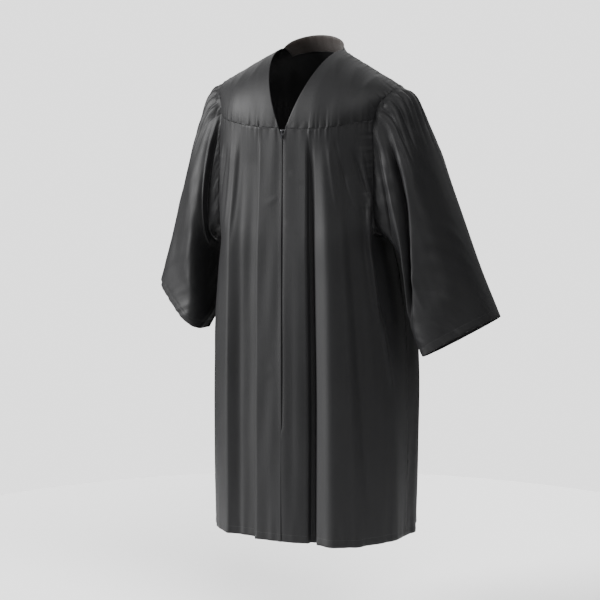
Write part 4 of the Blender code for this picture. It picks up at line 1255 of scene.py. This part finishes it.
@functools.cache
def cloth_material(name, colour, roughness=0.52, sheen=0.0):
    """Polyester satin: fine upright yarns, slubs, a soft gloss and slight colour variation."""
    shader = Shader(name)
    place = shader.node("ShaderNodeUVMap", uv_map=CLOTH_UV).outputs["UV"]
    slubs = shader.noise(shader.stretched(place, 1100, 26), 1.0, 3.0, 0.6)
    streaks = shader.noise(shader.stretched(place, 260, 7), 1.0, 2.0)
    patches = shader.noise(shader.stretched(place, 14, 6), 1.0, 3.0)
    yarns = [
        shader.node(
            "ShaderNodeTexWave",
            vector=shader.stretched(place, across, down),
            scale=1.0,
            distortion=0.6,
            bands_direction=direction,
        ).outputs["Fac"]
        for across, down, direction in ((YARN_SCALE, 0, "X"), (0, YARN_SCALE * 1.3, "Y"))
    ]
    weave = shader.math("MULTIPLY", *yarns)
    tone = shader.math("ADD", shader.math("MULTIPLY", streaks, 0.5), shader.math("MULTIPLY", patches, 0.5))
    dark = tuple(channel * 0.72 for channel in colour)
    light = tuple(channel * 1.30 for channel in colour)
    shader.feed(shader.surface.inputs["Base Color"], shader.tinted(tone, dark, light))
    rough = shader.math("ADD", shader.between(slubs, -0.07, 0.07), shader.between(patches, -0.05, 0.05))
    shader.feed(shader.surface.inputs["Roughness"], shader.math("ADD", rough, roughness))
    normal = shader.bump(weave, 0.00012, 0.35)
    normal = shader.bump(slubs, 0.00010, 0.5, normal)
    normal = shader.bump(streaks, 0.0004, 0.25, normal)
    shader.feed(shader.surface.inputs["Normal"], normal)
    shader.surface.inputs["Sheen Weight"].default_value = sheen
    shader.surface.inputs["Sheen Roughness"].default_value = 0.45
    shader.surface.inputs["Specular IOR Level"].default_value = 0.14
    return shader.material


@functools.cache
def metal_material(name, colour):
    """Enamelled metal, worn a little at random."""
    shader = Shader(name)
    place = shader.node("ShaderNodeTexCoord").outputs["Object"]
    wear = shader.noise(place, 900.0, 4.0, 0.6)
    light = tuple(channel * 1.8 for channel in colour)
    shader.feed(shader.surface.inputs["Base Color"], shader.tinted(wear, colour, light))
    shader.feed(shader.surface.inputs["Roughness"], shader.between(wear, 0.22, 0.42))
    shader.feed(shader.surface.inputs["Normal"], shader.bump(wear, 0.00005, 0.4))
    shader.surface.inputs["Metallic"].default_value = 0.7
    shader.surface.inputs["Coat Weight"].default_value = 0.3
    return shader.material


@functools.cache
def thread_material(name, colour):
    """Twisted sewing thread."""
    shader = Shader(name)
    place = shader.node("ShaderNodeTexCoord").outputs["Object"]
    twist = shader.noise(place, 4000.0, 2.0)
    light = tuple(channel * 1.6 for channel in colour)
    shader.feed(shader.surface.inputs["Base Color"], shader.tinted(twist, colour, light))
    shader.feed(shader.surface.inputs["Normal"], shader.bump(twist, 0.0001, 0.6))
    shader.surface.inputs["Roughness"].default_value = 0.55
    return shader.material


def mesh_of(name, points, faces, smooth_shading=True):
    """A mesh of points and faces."""
    mesh = bpy.data.meshes.new(name)
    mesh.from_pydata(points, [], faces)
    if smooth_shading:
        mesh.shade_smooth()
    return mesh


def stitch_row(points, facings, closed=False):
    """Stitches along a line: their two ends and their outward directions."""
    if closed:
        points = np.concatenate([points, points[:1]])
        facings = np.concatenate([facings, facings[:1]])
    run = np.concatenate([[0], np.cumsum(np.linalg.norm(np.diff(points, axis=0), axis=1))])
    starts = np.arange(0, run[-1] - STITCH_LENGTH, STITCH_LENGTH + STITCH_GAP)
    places = np.stack([starts, starts + STITCH_LENGTH / 2, starts + STITCH_LENGTH])
    found = [
        np.stack([np.interp(places, run, field[:, k]) for k in range(3)], axis=-1)
        for field in (points, facings)
    ]
    return found[0], found[1][1]


def add_stitches(name, rows, material):
    """Sewn thread as one object: each stitch rises out of the cloth and dips back into it."""
    ends = np.concatenate([row[0] for row in rows], axis=1)
    facing = np.concatenate([row[1] for row in rows])
    facing = facing / np.linalg.norm(facing, axis=-1, keepdims=True)
    along = ends[2] - ends[0]
    along = along / np.linalg.norm(along, axis=-1, keepdims=True)
    aside = np.cross(along, facing)
    around = np.arange(STITCH_SIDES) / STITCH_SIDES * 2 * math.pi
    rings = []
    for share, lift, thick in STITCH_PROFILE:
        middle = ends[0] * (1 - share) + ends[2] * share
        middle = middle + (ends[1] - (ends[0] + ends[2]) / 2) * (1 - abs(2 * share - 1))
        middle = middle + facing * lift * STITCH_RADIUS
        ring = np.cos(around)[:, None, None] * facing + np.sin(around)[:, None, None] * aside
        rings.append(middle + ring * thick * STITCH_RADIUS)
    points = np.array(rings).transpose(2, 0, 1, 3)
    count = len(points)
    size = len(STITCH_PROFILE) * STITCH_SIDES
    faces = []
    for i in range(len(STITCH_PROFILE) - 1):
        for j in range(STITCH_SIDES):
            right = (j + 1) % STITCH_SIDES
            here, there = i * STITCH_SIDES, (i + 1) * STITCH_SIDES
            faces.append((here + j, here + right, there + right, there + j))
    faces = np.array(faces)[None] + (np.arange(count) * size)[:, None, None]
    mesh = mesh_of(name, points.reshape(-1, 3).tolist(), faces.reshape(-1, 4).tolist())
    obj = add_object(name, mesh, material)
    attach(obj, "gown")
    return obj


def facing_sheet(sheets):
    """The neck facing: the back yoke's points near the neck, rolled over its edge and inside it."""
    yoke, _ = sheets.outer["yoke_back"]
    count = yoke.columns[-1]
    shoulder_cells = (count - NECK_CELLS) / 2
    inside = (yoke.columns >= shoulder_cells) & (yoke.columns <= count - shoulder_cells)
    rows = yoke.rows <= FACING_ROWS
    deep = np.interp(yoke.away_from("top"), (0, 0.0025), (0, 1))
    depth = FACING_DEPTH * np.sqrt(deep)
    points = yoke.points - yoke.facing * depth[..., None]
    picked = np.ix_(rows, inside)
    return Sheet(
        "neck_facing",
        points[picked],
        yoke.rows[rows],
        yoke.columns[inside],
        yoke.along[picked],
        yoke.height[picked],
    )


def outline_plate(outline, depth, rounding):
    """A bevelled plate of an outline (x, z), as points and faces. It lies in the XZ plane."""
    outline = np.array(outline)
    centre = outline.mean(axis=0)
    inner = centre + (outline - centre) * (1 - rounding / np.abs(outline - centre).max())
    layers = ((inner, 0.0), (outline, rounding), (outline, depth - rounding), (inner, depth))
    points = [(x, y, z) for layer, y in layers for x, z in layer]
    count = len(outline)
    faces = [
        (i * count + j, i * count + (j + 1) % count, (i + 1) * count + (j + 1) % count, (i + 1) * count + j)
        for i in range(len(layers) - 1)
        for j in range(count)
    ]
    faces.append(tuple(reversed(range(count))))
    faces.append(tuple(range((len(layers) - 1) * count, len(layers) * count)))
    return points, faces


def joined(parts):
    """Several sets of points and faces as one."""
    points, faces = [], []
    for part_points, part_faces in parts:
        start = len(points)
        points += [tuple(point) for point in part_points]
        faces += [tuple(start + corner for corner in face) for face in part_faces]
    return points, faces


def shifted(part, by):
    """Points and faces moved."""
    points, faces = part
    return [tuple(np.array(point) + by) for point in points], faces


def tube(path, radius, sides=10, closed=False):
    """A round wire along a path in the YZ plane, as points and faces."""
    path = np.array(path)
    ahead = np.roll(path, -1, axis=0) - np.roll(path, 1, axis=0)
    if not closed:
        ahead = np.gradient(path, axis=0)
    ahead = ahead / np.linalg.norm(ahead, axis=1, keepdims=True)
    side = np.array((1.0, 0.0, 0.0))
    up = np.cross(side, ahead)
    around = np.arange(sides) / sides * 2 * math.pi
    rings = path[:, None] + radius * (
        np.cos(around)[None, :, None] * side + np.sin(around)[None, :, None] * up[:, None]
    )
    count = len(path)
    last = count if closed else count - 1
    faces = [
        (
            i * sides + j,
            i * sides + (j + 1) % sides,
            (i + 1) % count * sides + (j + 1) % sides,
            (i + 1) % count * sides + j,
        )
        for i in range(last)
        for j in range(sides)
    ]
    return rings.reshape(-1, 3).tolist(), faces


def slider_parts():
    """The zip slider: two plates, side flanges between them and the bridge."""
    low, high = (np.array(corner) for corner in SLIDER_BOX)
    middle, size = (low + high) / 2, high - low
    outline = [(share_x * size[0] / 2, share_z * size[2] / 2) for share_x, share_z in SLIDER_OUTLINE]
    plate = outline_plate(outline, size[1] * 0.30, 0.0003)
    flange_outline = [(x * FLANGE_HALF_WIDTH, z * size[2] * 0.34) for x, z in ROUNDED_SQUARE]
    flange = outline_plate(flange_outline, size[1] * 0.8, 0.0001)
    front = np.array((middle[0], low[1], middle[2]))
    back = front + (0, size[1] * 0.70, 0)
    root = low[1] + 0.0003
    bend = PIVOT[1] - BRIDGE_FRONT
    bridge = [(0, root, PIVOT[2])]
    bridge += [
        (0, bend - BRIDGE_BEND * math.sin(turn), PIVOT[2] + BRIDGE_BEND * (1 - math.cos(turn)))
        for turn in np.linspace(0, math.pi, 11)
    ]
    bridge.append((0, root, PIVOT[2] + 2 * BRIDGE_BEND))
    return joined(
        (
            shifted(plate, front),
            shifted(plate, back),
            shifted(flange, front + (size[0] * 0.40, size[1] * 0.1, -size[2] * 0.10)),
            shifted(flange, front + (-size[0] * 0.40, size[1] * 0.1, -size[2] * 0.10)),
            tube(bridge, BRIDGE_RADIUS),
        )
    )


def tab_parts():
    """The pull tab: a rounded leaf with a slot at its top, which the bridge passes through."""
    low, high = (np.array(corner) for corner in PULL_BOX)
    half_width, depth = (high[0] - low[0]) / 2, high[1] - low[1]
    count = len(TAB_OUTLINE)
    outline = [(x * half_width, high[2] + (low[2] - high[2]) * z) for x, z in TAB_OUTLINE]
    outline += [(-x, z) for x, z in reversed(outline[1:-1])]
    slot = [
        (SLOT_HALF_WIDTH * math.sin(turn), PIVOT[2] - SLOT_DROP + SLOT_HALF_HEIGHT * math.cos(turn))
        for turn in np.linspace(0, 2 * math.pi, len(outline), endpoint=False)
    ]
    layers = (
        (slot, depth * 0.36),
        (slot, depth * 0.64),
        (outline, depth * 0.72),
        (outline, depth * 0.28),
    )
    points = [(x, low[1] + y, z) for layer, y in layers for x, z in layer]
    total = len(outline)
    faces = [
        (
            i * total + j,
            (i + 1) % 4 * total + j,
            (i + 1) % 4 * total + (j + 1) % total,
            i * total + (j + 1) % total,
        )
        for i in range(4)
        for j in range(total)
    ]
    rim_outline = [(x * half_width * 0.60, z * GRIP_HALF_HEIGHT) for x, z in ROUNDED_SQUARE]
    rim_faces = outline_plate(rim_outline, depth * 0.94, 0.0003)
    grip = shifted(rim_faces, (0, low[1] + depth * 0.03, low[2] + 0.0072))
    return joined(((points, faces), grip))


def add_teeth(material):
    """The coil's teeth between the band edges, from the V down to the zip's end."""
    heights = np.arange(V_APEX - TOOTH_PITCH, ZIP_END, -TOOTH_PITCH / 2)
    middle_y = by_height(heights, BODY_SECTIONS, SECTION, "front") + TOOTH_DEPTH
    parts = []
    for k, (z, y) in enumerate(zip(heights, middle_y)):
        aside = TOOTH_ASIDE if k % 2 else -TOOTH_ASIDE
        shape = [(x * TOOTH_SIZE[0] / 2, up * TOOTH_SIZE[2] / 2) for x, up in ROUNDED_SQUARE]
        parts.append(shifted(outline_plate(shape, TOOTH_SIZE[1], 0.0001), (aside, y, z)))
    obj = add_object("zip_teeth", mesh_of("zip_teeth", *joined(parts)), material)
    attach(obj, "gown")


def add_tape(material):
    """The woven tape behind the teeth, with its raised cords beside them."""
    low, high = (np.array(corner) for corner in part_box("zip_tape"))
    across = np.linspace(-1, 1, TAPE_COLUMNS)
    heights = np.linspace(high[2], low[2], TAPE_ROWS)
    x = across * high[0]
    cords = sum(TAPE_CORD * np.exp(-(((np.abs(x) - place) / 0.0007) ** 2)) for place in (0.0024, 0.0125))
    front = by_height(heights, BODY_SECTIONS, SECTION, "front") + TAPE_FRONT
    points = np.stack(
        [
            np.broadcast_to(x, (TAPE_ROWS, TAPE_COLUMNS)),
            front[:, None] - cords[None],
            np.broadcast_to(heights[:, None], (TAPE_ROWS, TAPE_COLUMNS)),
        ],
        axis=-1,
    )
    along = points[..., 0].copy()
    height = points[..., 2].copy()
    sheet = Sheet("zip_tape", points, heights, x, along, height)
    obj = sheet_object(sheet, material, TAPE_THICKNESS)
    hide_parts("zip_tape")
    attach(obj, "gown")


class GownBuilder:
    """What all the gown's operators share."""

    bl_options = {"REGISTER", "UNDO"}

    def cloth(self, context):
        """The cloth's settings and its material."""
        settings = context.scene.gown_cloth
        return settings, cloth_material("Gown satin", tuple(settings.colour))

    def checked(self, name):
        """Raises an error if the solid of a name isn't in the scene."""
        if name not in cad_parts:
            raise RuntimeError(f"The frame has no solid named {name}")


class GOWN_OT_fronts(GownBuilder, bpy.types.Operator):
    """Add both fluted front panels, with their band edges and hems"""

    bl_idname = "gown.fronts"
    bl_label = "Front panels"

    def execute(self, context):
        settings, material = self.cloth(context)
        for name in ("front_left", "front_right"):
            self.checked(name)
            add_cloth(name, material, settings)
        return {"FINISHED"}


class GOWN_OT_back(GownBuilder, bpy.types.Operator):
    """Add the fluted back panel and its hem"""

    bl_idname = "gown.back"
    bl_label = "Back panel"

    def execute(self, context):
        settings, material = self.cloth(context)
        self.checked("back")
        add_cloth("back", material, settings)
        return {"FINISHED"}


class GOWN_OT_yokes(GownBuilder, bpy.types.Operator):
    """Add the two front yokes and the back yoke"""

    bl_idname = "gown.yokes"
    bl_label = "Yokes"

    def execute(self, context):
        settings, material = self.cloth(context)
        for name in ("yoke_front_left", "yoke_front_right", "yoke_back"):
            self.checked(name)
            add_cloth(name, material, settings)
        return {"FINISHED"}


class GOWN_OT_sleeves(GownBuilder, bpy.types.Operator):
    """Add both bell sleeves, gathered at the cap and hemmed at the cuff"""

    bl_idname = "gown.sleeves"
    bl_label = "Sleeves"

    def execute(self, context):
        settings, material = self.cloth(context)
        for name in ("sleeve_left", "sleeve_right"):
            self.checked(name)
            add_cloth(name, material, settings)
        return {"FINISHED"}


class GOWN_OT_neck_facing(GownBuilder, bpy.types.Operator):
    """Add the lighter facing strip inside the back neck"""

    bl_idname = "gown.neck_facing"
    bl_label = "Neck facing"

    def execute(self, context):
        settings = context.scene.gown_cloth
        self.checked("neck_facing")
        material = cloth_material("Neck facing", tuple(settings.facing_colour), 0.6, 0.2)
        obj = sheet_object(facing_sheet(gown_sheets(settings.folds)), material, settings.thickness)
        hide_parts("neck_facing")
        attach(obj, "gown")
        return {"FINISHED"}


class GOWN_OT_stitching(GownBuilder, bpy.types.Operator):
    """Sew the hems, the cuffs and both sides of the zip"""

    bl_idname = "gown.stitching"
    bl_label = "Stitching"

    def execute(self, context):
        settings = context.scene.gown_cloth
        sheets = gown_sheets(settings.folds)
        material = thread_material("Sewing thread", tuple(settings.colour))
        for name in ("front_left", "front_right", "back"):
            rows = [stitch_row(*sheets.line(name, "bottom", HEM_STITCHES_ABOVE))]
            if name != "back":
                points, facings = sheets.line(name, "start", ZIP_STITCHES_ASIDE)
                beside_zip = (points[:, 2] < V_APEX) & (points[:, 2] > ZIP_END)
                rows.append(stitch_row(points[beside_zip], facings[beside_zip]))
            add_stitches(f"{name}_stitches", rows, material)
        for name in ("sleeve_left", "sleeve_right"):
            rows = [stitch_row(*sheets.line(name, "bottom", HEM_STITCHES_ABOVE), closed=True)]
            add_stitches(f"{name}_stitches", rows, material)
        return {"FINISHED"}


class GOWN_OT_zip(GownBuilder, bpy.types.Operator):
    """Add the zip's tape, teeth, slider and swinging pull tab"""

    bl_idname = "gown.zip"
    bl_label = "Zip"

    def execute(self, context):
        for name in ("zip_tape", "zip_slider", "zip_pull"):
            self.checked(name)
        colour = tuple(context.scene.gown_zip.colour)
        metal = metal_material("Zip enamel", colour)
        add_tape(cloth_material("Zip tape", colour, 0.65, 0.0))
        add_teeth(thread_material("Zip coil", colour))
        slider = add_object("zip_slider_body", mesh_of("zip_slider_body", *slider_parts()), metal)
        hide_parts("zip_slider")
        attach(slider, "gown")
        tab = add_object("zip_pull_tab", mesh_of("zip_pull_tab", *tab_parts(), smooth_shading=False), metal)
        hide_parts("zip_pull")
        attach(tab, "pull_tab")
        return {"FINISHED"}


class GOWN_OT_stage(GownBuilder, bpy.types.Operator):
    """Set up the pale floor, the soft lights and the camera"""

    bl_idname = "gown.stage"
    bl_label = "Studio"

    def execute(self, context):
        settings = context.scene.gown_stage
        floor_shader = Shader("Pale floor")
        floor_shader.surface.inputs["Base Color"].default_value = (0.86, 0.86, 0.86, 1)
        floor_shader.surface.inputs["Roughness"].default_value = 0.9
        turns = np.linspace(0, 2 * math.pi, FLOOR_SIDES, endpoint=False)
        rim = [
            (FLOOR_RADIUS * math.cos(turn), FLOOR_RADIUS * math.sin(turn), FLOOR_HEIGHT) for turn in turns
        ]
        floor_mesh = mesh_of("floor", rim, [tuple(range(FLOOR_SIDES))])
        floor = add_object("floor", floor_mesh, floor_shader.material)
        lights = [
            self.soft_light("key_light", KEY_DIRECTION, KEY_SPREAD, settings.key),
            self.soft_light("top_light", TOP_DIRECTION, TOP_SPREAD, settings.top),
            self.soft_light("fill_light", FILL_DIRECTION, FILL_SPREAD, settings.key * FILL_SHARE),
            self.soft_light("back_light", BACK_DIRECTION, BACK_SPREAD, settings.key * BACK_SHARE),
        ]
        self.surround(context, settings.surroundings)
        self.camera(context)
        return {"FINISHED"}

    def soft_light(self, name, direction, spread, strength):
        """A wide soft light from far away. direction is its azimuth and elevation."""
        light = bpy.data.lights.new(name, "SUN")
        light.energy = strength
        light.angle = math.radians(spread)
        obj = bpy.data.objects.new(name, light)
        bpy.context.scene.collection.objects.link(obj)
        azimuth, elevation = (math.radians(angle) for angle in direction)
        level = math.cos(elevation)
        aim = Vector((math.cos(azimuth) * level, math.sin(azimuth) * level, math.sin(elevation)))
        obj.rotation_euler = aim.to_track_quat("Z", "Y").to_euler()
        return obj

    def surround(self, context, strength):
        """A white room, which the camera sees as plain white."""
        world = bpy.data.worlds.new("White room")
        world.use_nodes = True
        context.scene.world = world
        tree = world.node_tree
        lit = tree.nodes["Background"]
        lit.inputs["Color"].default_value = (1, 1, 1, 1)
        lit.inputs["Strength"].default_value = strength
        seen = tree.nodes.new("ShaderNodeBackground")
        seen.inputs["Color"].default_value = (1, 1, 1, 1)
        seen.inputs["Strength"].default_value = SEEN_WHITE
        path = tree.nodes.new("ShaderNodeLightPath")
        mix = tree.nodes.new("ShaderNodeMixShader")
        tree.links.new(path.outputs["Is Camera Ray"], mix.inputs[0])
        tree.links.new(lit.outputs[0], mix.inputs[1])
        tree.links.new(seen.outputs[0], mix.inputs[2])
        tree.links.new(mix.outputs[0], tree.nodes["World Output"].inputs[0])

    def camera(self, context):
        """The photo's viewpoint."""
        data = bpy.data.cameras.new("camera")
        data.sensor_width = SENSOR
        data.lens = FOCAL_PIXELS / PHOTO_PIXELS * SENSOR
        obj = bpy.data.objects.new("camera", data)
        context.scene.collection.objects.link(obj)
        across = Vector((math.cos(CAMERA_AZIMUTH), math.sin(CAMERA_AZIMUTH), 0))
        look = across * CAMERA_ASIDE + Vector((0, 0, CAMERA_HEIGHT))
        back = Vector((across.y, -across.x, 0)) * math.cos(CAMERA_ELEVATION)
        back.z = math.sin(CAMERA_ELEVATION)
        obj.location = look + back * CAMERA_DISTANCE
        obj.rotation_euler = (-back).to_track_quat("-Z", "Y").to_euler()
        context.scene.camera = obj
        return obj


OPERATORS = (
    GOWN_OT_fronts,
    GOWN_OT_back,
    GOWN_OT_yokes,
    GOWN_OT_sleeves,
    GOWN_OT_neck_facing,
    GOWN_OT_stitching,
    GOWN_OT_zip,
    GOWN_OT_stage,
)


class GOWN_PT_panel(bpy.types.Panel):
    """The gown's settings and the steps that build it"""

    bl_label = "Graduation gown"
    bl_idname = "GOWN_PT_panel"
    bl_space_type = "VIEW_3D"
    bl_region_type = "UI"
    bl_category = "Gown"

    def draw(self, context):
        scene = context.scene
        for settings in (scene.gown_cloth, scene.gown_zip, scene.gown_stage):
            box = self.layout.box()
            for name in settings.__annotations__:
                box.prop(settings, name)
        for operator in OPERATORS:
            self.layout.operator(operator.bl_idname)


SETTINGS = (
    ("gown_cloth", GownClothSettings),
    ("gown_zip", GownZipSettings),
    ("gown_stage", GownStageSettings),
)


def register():
    """Adds the settings, the operators and the panel to Blender."""
    for name, group in SETTINGS:
        bpy.utils.register_class(group)
        setattr(bpy.types.Scene, name, PointerProperty(type=group))
    for operator in OPERATORS:
        bpy.utils.register_class(operator)
    bpy.utils.register_class(GOWN_PT_panel)


def unregister():
    """Takes them out again."""
    bpy.utils.unregister_class(GOWN_PT_panel)
    for operator in reversed(OPERATORS):
        bpy.utils.unregister_class(operator)
    for name, group in reversed(SETTINGS):
        delattr(bpy.types.Scene, name)
        bpy.utils.unregister_class(group)


def main():
    """Dresses the gown step by step."""
    register()
    for operator in OPERATORS:
        name = operator.bl_idname.split(".")[1]
        getattr(bpy.ops.gown, name)()


if __name__ == "__main__":
    main()
